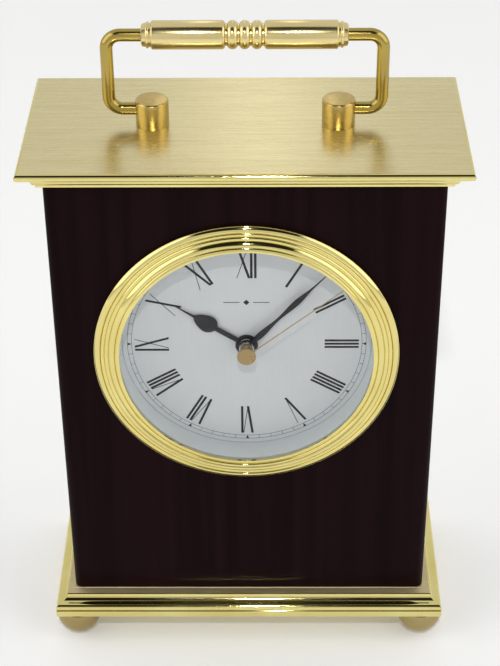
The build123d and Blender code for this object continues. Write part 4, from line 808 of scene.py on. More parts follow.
# ---------------------------------------------------------------- sub-assemblies
@dataclass
class Base:
    """Base moulding, base plate and feet."""

    finishes: Finishes
    lip: float = 0.55 * MM
    groove: float = 0.3 * MM
    nose: float = 1.35 * MM
    cove: Point = (3.5 * MM, 2.25 * MM)
    cove_belly: Point = (2.9 * MM, 0.6 * MM)
    weathering: float = 2.1 * MM
    easing: float = 0.12 * MM
    ball_steps: int = 48
    ball_segments: int = 96

    def moulding_section(self) -> Profile:
        """Section of the moulding.

        Returns:
            (inset, height) points from the bottom up.
        """
        low, high = (corner.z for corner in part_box("base_moulding"))
        lip_top = low + self.lip
        floor = lip_top + self.nose
        shoulder = (self.cove[0], floor + self.cove[1])
        bend = self.nose * (1 - sqrt(0.5))
        section = [(self.groove + self.easing, low), (self.groove, low + self.easing / 2),
                   (self.easing / 3, low + self.groove), (0.0, low + self.groove + self.easing),
                   (0.0, lip_top - self.easing / 2), (self.easing / 4, lip_top)]
        section += arc(section[-1], (bend, lip_top + self.nose - bend), (self.nose, floor), 16)
        section += arc(section[-1], (self.cove_belly[0], floor + self.cove_belly[1]), shoulder, 18)[:-1]
        section += [(shoulder[0], shoulder[1] - self.easing), (shoulder[0] + self.easing, shoulder[1])]
        section += [(shoulder[0] + self.weathering, high - self.easing),
                    (shoulder[0] + self.weathering + self.easing, high)]
        return section

    def build(self) -> None:
        """Make the base's pieces."""
        section = self.moulding_section()
        moulding = slab("cove_moulding", section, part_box("base_moulding"), self.finishes.polished)
        moulding.data.materials.append(self.finishes.strip)
        brushed_from = section[-3][1]
        for face in moulding.data.polygons:
            if face.normal.z > 0.5 and face.center.z > brushed_from:
                face.material_index = 1
        stands_for(moulding, "case", "polished_brass", "base_moulding")
        fascia = eased_copy("fascia_plate", "base_plate", self.finishes.polished, self.easing)
        stands_for(fascia, "case", "polished_brass", "base_plate")
        for node in ("foot_front_left", "foot_front_right", "foot_back_left", "foot_back_right"):
            self.foot(node)

    def foot(self, node: str) -> None:
        """Turn one ball foot.

        Args:
            node: the CAD foot that it stands for.
        """
        low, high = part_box(node)
        centre = (low + high) / 2
        radius = (high.x - low.x) / 2
        flat = self.flat_radius(node, low.z)
        middle = low.z + sqrt(radius ** 2 - flat ** 2)
        top_angle = atan2(high.z - middle, sqrt(radius ** 2 - (high.z - middle) ** 2))
        low_angle = -acos(flat / radius)
        steps = self.ball_steps
        turns = [low_angle + (top_angle - low_angle) * n / steps for n in range(steps + 1)]
        ball = [(radius * cos(turn), middle + radius * sin(turn)) for turn in turns]
        profile = [(0.0, low.z)] + ball + [(0.0, high.z)]
        # The feet's finish is a darker brass copy that carries painted shade.
        piece = turned("ball_" + node, profile, Vector((centre.x, centre.y, 0.0)), Turning.UP,
                       self.finishes.foot, segments=self.ball_segments)
        stands_for(piece, "case", "polished_brass", node)

    @staticmethod
    def flat_radius(node: str, height: float) -> float:
        """Measure the flat that a foot stands on.

        Args:
            node: the CAD foot.
            height: the flat's height.

        Returns:
            Its radius.
        """
        points = [v.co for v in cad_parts[node].data.vertices if abs(v.co.z - height) < 1e-6]
        xs = [p.x for p in points]
        return (max(xs) - min(xs)) / 2


@dataclass
class WoodCase:
    """Front panel, sides and back of the case."""

    finishes: Finishes
    easing: float = 0.3 * MM
    inner_easing: float = 0.1 * MM
    easing_steps: int = 3

    def build(self) -> None:
        """Make the case's boards."""
        upright, across = self.finishes.wood, self.finishes.wood_across
        boards = (("front_board", "front_panel", upright, self.easing),
                  ("left_board", "side_panel_left", upright, self.easing),
                  ("right_board", "side_panel_right", upright, self.easing),
                  ("back_board", "back_frame", upright, self.easing),
                  ("top_inner_board", "case_top_board", across, self.inner_easing),
                  ("bottom_inner_board", "case_bottom_board", across, self.inner_easing))
        for name, node, material, easing in boards:
            piece = eased_copy(name, node, material, easing, self.easing_steps)
            stands_for(piece, "case", "case_wood", node)


@dataclass
class TopPlates:
    """Top plate with its bullnose, and the lower tier."""

    finishes: Finishes
    tier: Point = (4.9 * MM, 3.7 * MM)
    tier_breaks: Point = (0.7 * MM, 3.3 * MM)
    tier_belly: float = 0.2
    easing: float = 0.1 * MM

    def build(self) -> None:
        """Make the two plates."""
        low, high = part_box("top_plate")
        nose = (high.z - low.z) / 2
        section = [(nose, low.z)] + arc((nose, low.z), (0.0, low.z + nose), (nose, high.z), 18)
        section.append((nose + self.easing, high.z))
        top = slab("bullnose_plate", section, (low, high), self.finishes.polished)
        top.data.materials.append(self.finishes.brushed_top)
        for face in top.data.polygons:
            if face.normal.z > 0.99:
                face.material_index = 1
        stands_for(top, "case", "satin_brass", "top_plate")
        tier_low, tier_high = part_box("top_moulding")
        spread = self.tier[0] - self.tier[1]
        z0, z1 = tier_low.z, tier_high.z
        foot = (spread, z0 + self.tier_breaks[0])
        head = (0.0, z0 + self.tier_breaks[1])
        belly = (spread * self.tier_belly, z0 + self.tier_breaks[1] / 2)
        section = [(spread + self.easing, z0), (spread, z0 + self.easing), (spread, foot[1] - self.easing)]
        section += [foot] + arc(foot, belly, head, 14)
        section += [(0.0, z1 - self.easing), (self.easing, z1)]
        tier = slab("ovolo_tier", section, (tier_low, tier_high), self.finishes.polished)
        stands_for(tier, "case", "polished_brass", "top_moulding")


@dataclass
class CarryHandle:
    """Posts, bail and turned grip."""

    finishes: Finishes
    rod: float = 1.725 * MM
    bend: float = 3.8 * MM
    collar: float = 2.6 * MM
    bead_pitch: float = 3.26 * MM
    beads: int = 3
    bead_root: float = 3.0 * MM
    bead_gap: float = 0.16 * MM
    barrel_neck: float = 0.22 * MM
    barrel_turn: Point = (0.55 * MM, 0.28 * MM)
    barrel_run: float = 1.15 * MM
    barrel_shoulder: float = 0.5 * MM
    shoulder_turn: float = 0.15 * MM
    collar_groove: Point = (0.1 * MM, 0.25 * MM)
    collar_run: Point = (0.5 * MM, 1.4 * MM)
    collar_foot: float = 0.22 * MM
    collar_crown: Point = (0.95 * MM, 0.3 * MM)
    tail_start: Point = (0.75 * MM, 0.12 * MM)
    tail_end: Point = (0.25 * MM, 0.02 * MM)
    tail_drop: float = 0.35 * MM
    post_easing: float = 0.12 * MM
    rod_steps: int = 48
    grip_segments: int = 128

    def build(self) -> None:
        """Make the handle's pieces."""
        for side in ("left", "right"):
            self.post("handle_post_" + side)
            self.arm("bail_arm_" + side, -1 if side == "left" else 1)
        self.grip()

    def post(self, node: str) -> None:
        """Ease the edges of one post and dress it.

        Args:
            node: the CAD post.
        """
        piece = eased_copy("turned_" + node, node, self.finishes.satin, self.post_easing)
        stands_for(piece, "case", "satin_brass", node)

    def arm(self, node: str, side: int) -> None:
        """Sweep one half of the bail.

        Args:
            node: the CAD arm that it stands for.
            side: -1 for the left arm, 1 for the right.
        """
        low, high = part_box(node)
        inner, outer = sorted((abs(low.x), abs(high.x)))
        leg, pivot, top = outer - self.rod, low.z + self.rod, high.z - self.rod
        start_x = self.pivot_end(node, side, pivot)
        points = [((start_x, pivot), (1.0, 0.0))]
        steps = self.rod_steps // 2
        for start, height in ((-pi / 2, pivot + self.bend), (0.0, top - self.bend)):
            for step in range(steps + 1):
                turn = start + pi / 2 * step / steps
                place = (leg - self.bend + self.bend * cos(turn), height + self.bend * sin(turn))
                points.append((place, (-sin(turn), cos(turn))))
        points.append(((inner, top), (-1.0, 0.0)))
        verts, faces = [], []
        for (x, z), (along_x, along_z) in points:
            for step in range(self.rod_steps):
                angle = 2 * pi * step / self.rod_steps
                out = self.rod * cos(angle)
                verts.append((side * (x + out * along_z), self.rod * sin(angle), z - out * along_x))
        count = self.rod_steps
        for ring in range(len(points) - 1):
            for step in range(count):
                a, b = ring * count + step, ring * count + (step + 1) % count
                faces.append((a, b, b + count, a + count))
        faces.append(tuple(range(count)))
        faces.append(tuple(range(len(verts) - count, len(verts))))
        mesh = bpy.data.meshes.new("bent_" + node)
        mesh.from_pydata(verts, [], faces)
        # The bail's finish is a darker brass copy that carries painted shade.
        piece = finished("bent_" + node, mesh, self.finishes.bail)
        stands_for(piece, "handle", "polished_brass", node)

    def pivot_end(self, node: str, side: int, pivot: float) -> float:
        """Find where the rod ends in its post.

        Args:
            node: the CAD arm.
            side: -1 for the left arm, 1 for the right.
            pivot: height of the rod's end.

        Returns:
            Distance from the middle.
        """
        near = [side * v.co.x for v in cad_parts[node].data.vertices if v.co.z < pivot + self.rod * 1.01]
        return min(near)

    def grip(self) -> None:
        """Turn the grip: two barrels, beads between them and a stepped collar at each end."""
        low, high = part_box("handle_grip")
        half, radius = (high.x - low.x) / 2, (high.z - low.z) / 2
        centre = (low + high) / 2
        band = self.beads * self.bead_pitch / 2
        barrel_end = half - self.collar
        shoulder, root = self.barrel_shoulder, self.bead_root
        side: Profile = [(band, root), (band + self.barrel_neck, root)]
        turn = (band + self.barrel_turn[0], radius - self.barrel_turn[1])
        side += arc(side[-1], turn, (band + self.barrel_run, radius), 10)
        side.append((barrel_end - shoulder, radius))
        turn = (barrel_end - self.shoulder_turn, radius - self.shoulder_turn)
        side += arc(side[-1], turn, (barrel_end, radius - shoulder), 5)
        side.append((barrel_end + self.collar_groove[0], root + self.collar_groove[1]))
        side.append((barrel_end + self.collar_run[0], root + self.collar_foot))
        crown = (barrel_end + self.collar_crown[0], radius - self.collar_crown[1])
        side += arc(side[-1], crown, (barrel_end + self.collar_run[1], root + self.collar_foot), 8)
        side.append((half - self.tail_start[0], root + self.tail_start[1]))
        side.append((half - self.tail_end[0], root + self.tail_end[1]))
        side += [(half, root - self.tail_drop), (half, 0.0)]
        middle: Profile = []
        for bead in range(self.beads):
            left = -band + bead * self.bead_pitch
            right = (left + self.bead_pitch - self.bead_gap, root)
            middle += [(left, root), (left + self.bead_gap, root)]
            middle += arc(middle[-1], (left + self.bead_pitch / 2, radius), right, 16)
        whole = [(-x, r) for x, r in reversed(side)] + middle[1:] + side
        profile = [(r, x) for x, r in whole]
        piece = turned("turned_grip", profile, centre, Turning.LEFT_TO_RIGHT, self.finishes.grip,
                       segments=self.grip_segments)
        stands_for(piece, "handle", "polished_brass", "handle_grip")


@dataclass
class Bezel:
    """Reeded bezel, pane and the ring behind it."""

    finishes: Finishes
    outer_side: float = 0.78 * MM
    rim_inset: float = 0.21 * MM
    rim_turn: Point = (0.03 * MM, 0.135 * MM)
    outer_reed: float = 1.9 * MM
    outer_foot: float = 1.08 * MM
    outer_shoulder: Point = (42.25 * MM, 1.72 * MM)
    thin_reed: float = 1.15 * MM
    thin_feet: Triple = (1.35 * MM, 1.62 * MM, 1.9 * MM)
    thin_swell: float = 0.33 * MM
    inner_reed: float = 1.8 * MM
    inner_foot: float = 2.35 * MM
    inner_shoulder: Point = (38.25 * MM, 2.7 * MM)
    crown_rise: float = 0.1 * MM
    flank_swell: float = 0.045 * MM
    sleeve: float = 38.0 * MM
    bore: float = 36.9 * MM
    lip: float = 35.9 * MM
    lip_round: float = 0.13 * MM
    proud: float = 2.9 * MM
    glass_proud: float = 2.2 * MM
    ring_play: float = 0.05 * MM
    pane_easing: float = 0.1 * MM
    segments: int = 320

    def broad_reed(self, inner: Point, shoulder: Point,
                   outer: Point) -> Profile:
        """Section of a broad reed: a round crown, then a long flank that falls outwards.

        Args:
            inner: radius and height of its inner foot.
            shoulder: where the crown meets the flank.
            outer: its outer foot.

        Returns:
            The points after the inner foot, up to the outer one.
        """
        crown = ((inner[0] + shoulder[0]) / 2, shoulder[1] + self.crown_rise)
        belly = ((shoulder[0] + outer[0]) / 2 + self.flank_swell,
                 (shoulder[1] + outer[1]) / 2 + self.flank_swell)
        return arc(inner, crown, shoulder, 12) + arc(shoulder, belly, outer, 10)

    def thin_reeds(self, start: float) -> Profile:
        """Section of the two thin reeds, from the inside out.

        Args:
            start: radius of the inner one's inner foot.

        Returns:
            The points after that foot.
        """
        points: Profile = []
        low, middle, high = self.thin_feet
        for number, (near, far) in enumerate(((high, middle), (middle, low))):
            foot = start + number * self.thin_reed
            crown = (foot + self.thin_reed / 2, (near + far) / 2 + self.thin_swell)
            points += arc((foot, near), crown, (foot + self.thin_reed, far), 12)
        return points

    def front_section(self, radius: float) -> Profile:
        """Section of the bezel's front as (radius, height), from the lip to the outer edge.

        Args:
            radius: the bezel's outer radius.

        Returns:
            The points in order.
        """
        lip_top = (self.lip + self.lip_round, self.proud)
        lip_turn = (self.lip + self.lip_round / 4, self.proud - self.lip_round / 4)
        points: Profile = [(self.lip, self.glass_proud), (self.lip, self.proud - self.lip_round)]
        points += arc(points[-1], lip_turn, lip_top, 4)
        thin_end = radius - self.outer_reed
        thin_start = thin_end - 2 * self.thin_reed
        valley = (thin_start - self.inner_reed, self.inner_foot)
        points += arc(lip_top, ((lip_top[0] + valley[0]) / 2, self.proud - self.crown_rise), valley, 10)
        points += self.broad_reed(valley, self.inner_shoulder, (thin_start, self.thin_feet[2]))
        points += self.thin_reeds(thin_start)
        rim = (radius - self.rim_inset, self.outer_foot)
        points += self.broad_reed((thin_end, self.thin_feet[0]), self.outer_shoulder, rim)
        rim_turn = (radius - self.rim_turn[0], self.outer_foot - self.rim_turn[1])
        points += arc(rim, rim_turn, (radius, self.outer_side), 6)
        return points

    def build(self) -> None:
        """Make the bezel's pieces."""
        low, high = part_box("bezel")
        face_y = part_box("front_panel")[0].y
        centre = Vector(((low.x + high.x) / 2, face_y, (low.z + high.z) / 2))
        radius, back = (high.x - low.x) / 2, high.y - face_y
        profile: Profile = [(radius, 0.0), (self.sleeve, 0.0), (self.sleeve, back), (self.bore, back),
                            (self.bore, -self.glass_proud)]
        profile += [(r, -height) for r, height in self.front_section(radius)]
        piece = turned("reeded_bezel", profile, centre, Turning.FRONT_TO_BACK, self.finishes.polished,
                       closed=True, segments=self.segments, sharp=28.0)
        stands_for(piece, "case", "polished_brass", "bezel")
        self.pane(centre, face_y)

    def pane(self, centre: Vector, face_y: float) -> None:
        """Make the pane and the ring behind it.

        Args:
            centre: the bezel's centre, on the case front.
            face_y: depth of the case front.
        """
        low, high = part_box("glass")
        radius, front, back = (high.x - low.x) / 2, low.y - face_y, high.y - face_y
        ease = self.pane_easing
        profile = [(0.0, front), (radius - ease, front), (radius, front + ease), (radius, back - ease),
                   (radius - ease, back), (0.0, back)]
        piece = turned("flat_pane", profile, centre, Turning.FRONT_TO_BACK, self.finishes.glass, segments=128)
        stands_for(piece, "case", "glass", "glass")
        low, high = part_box("glass_ring")
        inner = self.lip + self.ring_play
        front, back = low.y - face_y, high.y - face_y
        profile = [(inner, front), (radius, front), (radius, back), (inner, back)]
        piece = turned("pane_ring", profile, centre, Turning.FRONT_TO_BACK, self.finishes.dial, closed=True,
                       segments=256)
        stands_for(piece, "case", "dial_metal", "glass_ring")


@dataclass
class Dial:
    """Dial plate and its printing."""

    finishes: Finishes
    numeral_foot: float = 22.3 * MM
    numeral_head: float = 32.1 * MM
    bar_pitch: float = 1.12 * MM
    fan_gap: float = 0.42 * MM
    cross_gap: float = 0.62 * MM
    fan_half: float = 1.3 * MM
    cross_top_half: float = 1.28 * MM
    cross_foot_half: float = 1.72 * MM
    ink: float = 0.03 * MM
    track: Triple = (33.0 * MM, 34.2 * MM, 35.7 * MM)
    line: float = 0.11 * MM
    wedge_reach: float = 0.62
    wedge_shift: float = 0.12
    wedge_squash: float = 0.72
    rim_share: float = 0.6
    ornament_height: float = 14.2 * MM
    ornament_half: float = 0.9 * MM
    rule_run: Point = (1.9 * MM, 6.5 * MM)
    rule_half: float = 0.11 * MM
    plate_easing: float = 0.05 * MM
    numerals: tuple[str, ...] = ("XII", "I", "II", "III", "IIII", "V", "VI", "VII", "VIII", "IX", "X", "XI")

    def build(self) -> None:
        """Dress the dial plate and print it."""
        low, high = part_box("dial_plate")
        self.centre = Vector(((low.x + high.x) / 2, low.y, (low.z + high.z) / 2))
        disc = eased_copy("dial_disc", "dial_plate", self.finishes.dial, self.plate_easing, 1)
        stands_for(disc, "case", "dial_metal", "dial_plate")
        self.print_numerals()
        self.print_track()
        self.print_ornament()

    def facing(self, turn: float = 0.0) -> Matrix:
        """Plane on the dial whose Y points along an hour.

        Args:
            turn: degrees clockwise from twelve.

        Returns:
            The plane's matrix; its Z points out of the dial.
        """
        upright = Matrix.Rotation(pi / 2, 4, "X")
        swing = Matrix.Rotation(-radians(turn), 4, "Z")
        return Matrix.Translation(self.centre + Vector((0.0, self.ink / 3, 0.0))) @ upright @ swing

    def bar(self, foot: float, head: float, stroke: Stroke) -> Profile:
        """One stroke of a numeral.

        Args:
            foot: where it starts, across the numeral.
            head: where it ends.
            stroke: its width.

        Returns:
            Its outline.
        """
        rise = self.numeral_head - self.numeral_foot
        half = stroke.value / 2 * sqrt(1 + ((head - foot) / rise) ** 2)
        return [(foot - half, self.numeral_foot), (foot + half, self.numeral_foot),
                (head + half, self.numeral_head), (head - half, self.numeral_head)]

    def strokes(self, numeral: str) -> list[Profile]:
        """Outlines of a numeral's strokes, centred on its hour.

        Args:
            numeral: Roman letters.

        Returns:
            One outline for each stroke.
        """
        cursor, lines, previous = 0.0, [], ""
        for letter in numeral:
            half = {"I": 0.0, "V": self.fan_half, "X": self.cross_foot_half}[letter]
            if previous:
                pair = {previous, letter}
                step = self.bar_pitch if pair == {"I"} else self.fan_gap if "V" in pair else self.cross_gap
                cursor += step + half
            middle = cursor
            if letter == "I":
                lines.append((middle, middle, Stroke.THICK))
            elif letter == "V":
                lines.append((middle, middle - self.fan_half, Stroke.THICK))
                lines.append((middle, middle + self.fan_half, Stroke.THIN))
            else:
                lines.append((middle + self.cross_foot_half, middle - self.cross_top_half, Stroke.THICK))
                lines.append((middle - self.cross_foot_half, middle + self.cross_top_half, Stroke.THIN))
            cursor += half
            previous = letter
        reach = [x for foot, head, _ in lines for x in (foot, head)]
        shift = (min(reach) + max(reach)) / 2
        return [self.bar(foot - shift, head - shift, stroke) for foot, head, stroke in lines]

    def print_numerals(self) -> None:
        """Print the twelve numerals as one piece of raised ink."""
        work = bmesh.new()
        for hour, numeral in enumerate(self.numerals):
            place = self.facing(hour * 30.0)
            for outline in self.strokes(numeral):
                self.lay(work, outline, place)
        mesh = bpy.data.meshes.new("printed_numerals")
        work.to_mesh(mesh)
        work.free()
        piece = finished("printed_numerals", mesh, self.finishes.ink)
        stands_for(piece, "case", "dial_metal")

    def lay(self, work: WorkMesh, outline: Profile, place: Matrix) -> None:
        """Add one flat stroke of ink.

        Args:
            work: the mesh to add it to.
            outline: its outline.
            place: the plane that it lies in.
        """
        below = [work.verts.new(place @ Vector((x, y, 0.0))) for x, y in outline]
        above = [work.verts.new(place @ Vector((x, y, self.ink))) for x, y in outline]
        work.faces.new(list(reversed(below)))
        work.faces.new(above)
        for n in range(len(outline)):
            m = (n + 1) % len(outline)
            work.faces.new((below[n], below[m], above[m], above[n]))

    def print_track(self) -> None:
        """Print the minute track with a Geometry Nodes tree."""
        inner, outer, rim = self.track
        graph = NodeTree("minute_track", {"Inner Radius": inner, "Outer Radius": outer, "Rim Radius": rim,
                                          "Line": self.line, "Ink": self.ink},
                         {"Minutes": 60, "Steps": 240})
        reach = graph.math("ADD", graph.size("Inner Radius"), graph.size("Outer Radius"))
        middle = graph.math("MULTIPLY", reach, 0.5)
        length = graph.math("SUBTRACT", graph.size("Outer Radius"), graph.size("Inner Radius"))
        circle = graph.node("GeometryNodeMeshCircle", Vertices=graph.size("Minutes"), Radius=middle)
        ring = circle.outputs["Mesh"]
        place = graph.node("GeometryNodeInputPosition").outputs[0]
        aim = graph.node("FunctionNodeAlignRotationToVector", {"axis": "X"}, Vector=place).outputs[0]
        index = graph.node("GeometryNodeInputIndex").outputs[0]
        fifth = graph.math("LESS_THAN", graph.math("MODULO", index, 5.0), 0.5)
        other = graph.math("SUBTRACT", 1.0, fifth)
        bar = graph.vector(length, graph.size("Line"), graph.size("Ink"))
        tick = graph.node("GeometryNodeMeshCube", Size=bar).outputs["Mesh"]
        ticks = graph.node("GeometryNodeInstanceOnPoints", Points=ring, Selection=other, Instance=tick,
                           Rotation=aim).outputs[0]
        wedge = graph.node("GeometryNodeMeshCylinder", Vertices=3, Side_Segments=1, Fill_Segments=1,
                           Radius=graph.math("MULTIPLY", length, self.wedge_reach),
                           Depth=graph.size("Ink")).outputs["Mesh"]
        wedge = graph.node("GeometryNodeTransform", Geometry=wedge, Rotation=(0.0, 0.0, pi),
                           Translation=graph.vector(graph.math("MULTIPLY", length, self.wedge_shift)),
                           Scale=(1.0, self.wedge_squash, 1.0)).outputs[0]
        wedges = graph.node("GeometryNodeInstanceOnPoints", Points=ring, Selection=fifth, Instance=wedge,
                            Rotation=aim).outputs[0]
        band = graph.node("GeometryNodeCurvePrimitiveQuadrilateral", Width=graph.size("Line"),
                          Height=graph.size("Ink")).outputs[0]
        rings = []
        for radius, share in (("Inner Radius", 1.0), ("Outer Radius", 1.0), ("Rim Radius", self.rim_share)):
            path = graph.node("GeometryNodeCurvePrimitiveCircle", Resolution=graph.size("Steps"),
                              Radius=graph.size(radius)).outputs["Curve"]
            thin = graph.node("GeometryNodeTransform", Geometry=band, Scale=(share, 1.0, 1.0)).outputs[0]
            swept = graph.node("GeometryNodeCurveToMesh", Curve=path, Profile_Curve=thin)
            rings.append(swept.outputs["Mesh"])
        mesh = graph.mesh("minute_track", graph.joined(ticks, wedges, *rings), self.finishes.ink)
        mesh.transform(self.facing() @ Matrix.Translation((0.0, 0.0, self.ink / 2)))
        piece = finished("minute_track", mesh, self.finishes.ink)
        stands_for(piece, "case", "dial_metal")

    def print_ornament(self) -> None:
        """Print a plain lozenge between two short rules under twelve."""
        height, half, thin = self.ornament_height, self.ornament_half, self.rule_half
        outlines = [[(-half, height), (0.0, height - half), (half, height), (0.0, height + half)]]
        for side in (-1, 1):
            near, far = sorted(side * end for end in self.rule_run)
            outlines.append([(near, height - thin), (far, height - thin),
                             (far, height + thin), (near, height + thin)])
        work = bmesh.new()
        for outline in outlines:
            self.lay(work, outline, self.facing())
        mesh = bpy.data.meshes.new("printed_ornament")
        work.to_mesh(mesh)
        work.free()
        piece = finished("printed_ornament", mesh, self.finishes.ink)
        stands_for(piece, "case", "dial_metal")


@dataclass
class Hands:
    """Hour, minute and second hands and the nut that holds them."""

    finishes: Finishes
    root: Point = (2.7 * MM, 0.72 * MM)
    heel: Point = (5.6 * MM, 0.96 * MM)
    waist: Point = (13.4 * MM, 0.41 * MM)
    leaf: Point = (20.8 * MM, 0.88 * MM)
    neck: Point = (28.3 * MM, 0.2 * MM)
    tip_half: float = 0.1 * MM
    blade_step: float = 0.5 * MM
    blade_easing: float = 0.05 * MM
    nut_easing: float = 0.1 * MM
    needle_easing: float = 0.025 * MM
    sharp: float = 60.0

    def blade_half(self, along: float, length: float) -> float:
        """Half the blade's width at a distance from the centre.

        Args:
            along: the distance.
            length: the hand's length.

        Returns:
            Half the width.
        """
        stations = (self.root, self.heel, self.waist, self.leaf, self.neck, (length, self.tip_half))
        for (start, near), (end, far) in zip(stations, stations[1:]):
            if along <= end:
                share = (along - start) / (end - start)
                return near + (far - near) * share * share * (3 - 2 * share)
        return self.tip_half

    def slim(self, work: WorkMesh) -> None:
        """Give the minute hand's blade its heel, waist and leaf.

        Args:
            work: the hand's mesh.
        """
        low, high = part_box("hand_nut")
        centre = (low + high) / 2
        arms = [Vector((v.co.x - centre.x, 0.0, v.co.z - centre.z)) for v in work.verts]
        length = max(arm.length for arm in arms)
        along = sum((arm for arm in arms if arm.length > length * 0.999), Vector()).normalized()
        across = Vector((-along.z, 0.0, along.x))
        for step in range(1, int((length - self.root[0]) / self.blade_step)):
            parts = work.verts[:] + work.edges[:] + work.faces[:]
            place = centre + along * (self.root[0] + step * self.blade_step)
            bmesh.ops.bisect_plane(work, geom=parts, dist=1e-7, plane_co=place, plane_no=along)
        for vert in work.verts:
            arm = vert.co - centre
            reach, side = arm.dot(along), arm.dot(across)
            if reach > self.root[0]:
                vert.co += across * (copysign(self.blade_half(reach, length), side) - side)

    def build(self) -> None:
        """Ease the hands' edges and dress them."""
        blades = (("spade_hand", "hour_hand", "hours", None),
                  ("leaf_hand", "minute_hand", "minutes", self.slim))
        for name, node, body, reshape in blades:
            piece = eased_copy(name, node, self.finishes.hand_paint, self.blade_easing, 2, self.sharp,
                               reshape)
            stands_for(piece, body, "hand_black", node)
        nut = eased_copy("knurled_hand_nut", "hand_nut", self.finishes.nickel, self.nut_easing)
        stands_for(nut, "minutes", "steel", "hand_nut")
        # The second hand's finish is a darker brass copy that carries painted shade.
        needle = eased_copy("sweep_hand", "second_hand", self.finishes.sweep, self.needle_easing, 1,
                            self.sharp)
        stands_for(needle, "seconds", "polished_brass", "second_hand")


@dataclass
class BackDoor:
    """Door, hinges and knob."""

    finishes: Finishes
    door_easing: float = 0.3 * MM
    metal_easing: float = 0.08 * MM
    knob_sharp: float = 50.0

    def build(self) -> None:
        """Make the door's pieces."""
        door = eased_copy("door_board", "back_door", self.finishes.wood, self.door_easing, 3)
        stands_for(door, "door", "case_wood", "back_door")
        for node, body in (("hinge_leaves_frame", "case"), ("hinge_leaves_door", "door")):
            piece = eased_copy(node + "_eased", node, self.finishes.satin, self.metal_easing)
            stands_for(piece, body, "satin_brass", node)
        knob = eased_copy("turned_door_knob", "door_knob", self.finishes.polished, self.metal_easing, 2,
                          self.knob_sharp)
        stands_for(knob, "door", "polished_brass", "door_knob")


@dataclass
class Movement:
    """CAD pieces whose shape is right and that only need a finish."""

    finishes: Finishes
    carried: dict[str, tuple[str, ...]] = field(default_factory=lambda: {
        "plastic": ("movement_case_front", "movement_case_back", "set_knob", "train_plate"),
        "gear": ("second_wheel", "third_wheel", "centre_wheel", "intermediate_wheel", "cannon_pinion",
                 "motion_wheel", "hour_wheel"),
        "ferrite": ("rotor", "door_magnet"),
        "zinc": ("base_screws", "foot_studs", "handle_post_screws", "back_frame_screws", "dial_screws",
                 "dial_foot_nuts", "stator", "coil_core", "door_strike_plate", "dial_retaining_ring"),
        "nickel": ("battery_contacts",),
        "satin": ("hinge_pins",),
        "copper": ("drive_coil",),
        "mask": ("circuit_board",),
        "cell": ("battery",)})

    def build(self) -> None:
        """Dress the carried CAD pieces."""
        for finish, nodes in self.carried.items():
            material = getattr(self.finishes, finish)
            for node in nodes:
                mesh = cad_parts[node].data
                mesh.materials.clear()
                mesh.materials.append(material)
                log.info("%s: CAD shape in %s", node, finish)


@dataclass(frozen=True)
class Lamp:
    """Rectangular area light that points at the clock; size in metres, power in watts."""

    name: str
    place: Triple
    size: Point
    power: float


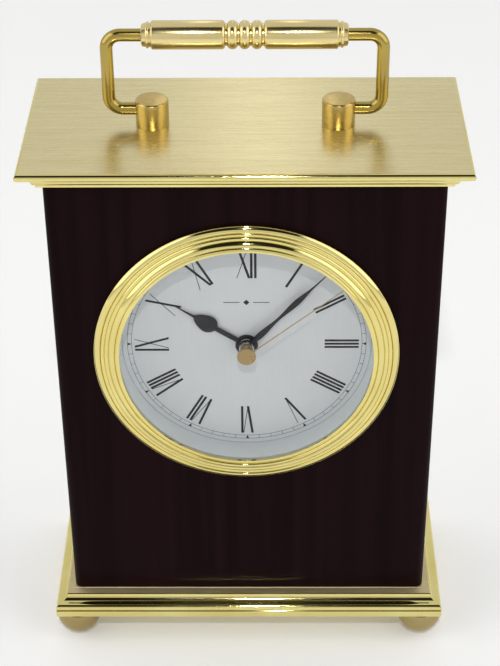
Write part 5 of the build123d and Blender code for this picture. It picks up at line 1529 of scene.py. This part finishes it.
@dataclass
class Studio:
    """Floor, soft lights and the camera."""

    lamps: tuple[Lamp, ...] = (Lamp("key", (0.0, -0.62, 0.80), (0.03, 0.03), 2.0),
                               Lamp("back_strip", (0.0, 0.95, 0.85), (0.08, 0.6), 0.13),
                               Lamp("left_soft", (-1.2, -0.3, 0.75), (1.3, 1.3), 5.5),
                               Lamp("right_soft", (1.2, -0.3, 0.75), (1.3, 1.3), 5.5))
    aim: Triple = (0.0, 0.0, 0.12)
    floor_half: float = 4.0
    floor_glow: float = 0.12
    air: Triple = (1.0, 1.0, 0.99)
    backdrop: Triple = (0.98, 0.98, 0.98)
    surround: float = 0.75
    ceiling: float = 0.02
    ceiling_turn: float = 121.0
    ceiling_edge: Point = (0.865, 0.905)
    ceiling_spread: float = 0.8
    lens: float = 93.98
    sensor: float = 36.0
    near: float = 0.01
    pitch: float = 34.458
    yaw: float = -0.651
    roll: float = -0.456
    place: Point = (5.62 * MM, -425.95 * MM)
    height_over_case: float = 372.79 * MM

    def build(self) -> None:
        """Set up the studio."""
        self.floor()
        self.world()
        for lamp in self.lamps:
            self.light(lamp)
        self.camera()
        bpy.context.scene.view_settings.view_transform = "Standard"

    def floor(self) -> None:
        """Lay the floor."""
        half = self.floor_half
        corners = [(-half, -half, 0), (half, -half, 0), (half, half, 0), (-half, half, 0)]
        mesh = bpy.data.meshes.new("floor")
        mesh.from_pydata(corners, [], [(0, 1, 2, 3)])
        finish = Painted("pale_floor", (0.93, 0.93, 0.93), (0.92, 0.92, 0.92), scale=30.0, smooth=0.7,
                         rough=0.8, strength=0.0, glow=self.floor_glow)
        mesh.materials.append(finish.build())
        floor = bpy.data.objects.new("floor", mesh)
        bpy.context.scene.collection.objects.link(floor)

    def world(self) -> None:
        """Pale surroundings with a dark ceiling patch, which polished metal needs to read as metal."""
        world = bpy.data.worlds.new("studio")
        bpy.context.scene.world = world
        world.use_nodes = True
        nodes, links = world.node_tree.nodes, world.node_tree.links
        nodes.clear()
        direction = nodes.new("ShaderNodeTexCoord").outputs["Generated"]
        squeeze = nodes.new("ShaderNodeVectorMath")
        squeeze.operation = "MULTIPLY"
        squeeze.inputs[1].default_value = (self.ceiling_spread, 1.0, 1.0)
        unit = nodes.new("ShaderNodeVectorMath")
        unit.operation = "NORMALIZE"
        dot = nodes.new("ShaderNodeVectorMath")
        dot.operation = "DOT_PRODUCT"
        turn = radians(self.ceiling_turn)
        dot.inputs[1].default_value = (0.0, cos(turn), sin(turn))
        links.new(direction, squeeze.inputs[0])
        links.new(squeeze.outputs["Vector"], unit.inputs[0])
        links.new(unit.outputs["Vector"], dot.inputs[0])
        patch = nodes.new("ShaderNodeMapRange")
        patch.interpolation_type = "SMOOTHSTEP"
        links.new(dot.outputs["Value"], patch.inputs["Value"])
        for name, value in (("From Min", self.ceiling_edge[0]), ("From Max", self.ceiling_edge[1]),
                            ("To Min", self.surround), ("To Max", self.ceiling)):
            patch.inputs[name].default_value = value
        shade = nodes.new("ShaderNodeBackground")
        links.new(patch.outputs["Result"], shade.inputs["Strength"])
        shade.inputs["Color"].default_value = (*self.air, 1.0)
        seen = nodes.new("ShaderNodeBackground")
        seen.inputs["Color"].default_value = (*self.backdrop, 1.0)
        rays = nodes.new("ShaderNodeLightPath")
        choice = nodes.new("ShaderNodeMixShader")
        links.new(rays.outputs["Is Camera Ray"], choice.inputs["Fac"])
        links.new(shade.outputs[0], choice.inputs[1])
        links.new(seen.outputs[0], choice.inputs[2])
        output = nodes.new("ShaderNodeOutputWorld")
        links.new(choice.outputs[0], output.inputs["Surface"])

    def light(self, lamp: Lamp) -> None:
        """Hang one light.

        Args:
            lamp: its place, size and power.
        """
        glow = bpy.data.lights.new(lamp.name, "AREA")
        glow.shape = "RECTANGLE"
        glow.size, glow.size_y = lamp.size
        glow.energy = lamp.power
        holder = bpy.data.objects.new(lamp.name, glow)
        bpy.context.scene.collection.objects.link(holder)
        holder.location = lamp.place
        aim = Vector(self.aim) - Vector(lamp.place)
        holder.rotation_euler = aim.to_track_quat("-Z", "Y").to_euler()

    def camera(self) -> None:
        """Stand the camera at its angle."""
        yaw, pitch, roll = radians(self.yaw), radians(self.pitch), radians(self.roll)
        ahead = Vector((sin(yaw) * cos(pitch), cos(yaw) * cos(pitch), -sin(pitch)))
        level = Vector((cos(yaw), -sin(yaw), 0.0))
        up = level.cross(ahead)
        right = level * cos(roll) + up * sin(roll)
        top = -level * sin(roll) + up * cos(roll)
        lens = bpy.data.cameras.new("camera")
        lens.lens = self.lens
        lens.sensor_width = self.sensor
        lens.clip_start = self.near
        camera = bpy.data.objects.new("camera", lens)
        bpy.context.scene.collection.objects.link(camera)
        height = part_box("front_panel")[0].z + self.height_over_case
        turn = Matrix((right, top, -ahead)).transposed().to_4x4()
        camera.matrix_world = Matrix.Translation((*self.place, height)) @ turn
        bpy.context.scene.camera = camera


def main() -> None:
    """Build the clock's looks, one sub-assembly after another."""
    logging.basicConfig(level=logging.INFO, format="%(name)s %(message)s")
    finishes = Finishes()
    assemblies = (Base(finishes), WoodCase(finishes), TopPlates(finishes), CarryHandle(finishes),
                  Bezel(finishes), Dial(finishes), Hands(finishes), BackDoor(finishes),
                  Movement(finishes), Studio())
    for assembly in assemblies:
        assembly.build()
        log.info("%s done", type(assembly).__name__)


if __name__ == "__main__":
    main()
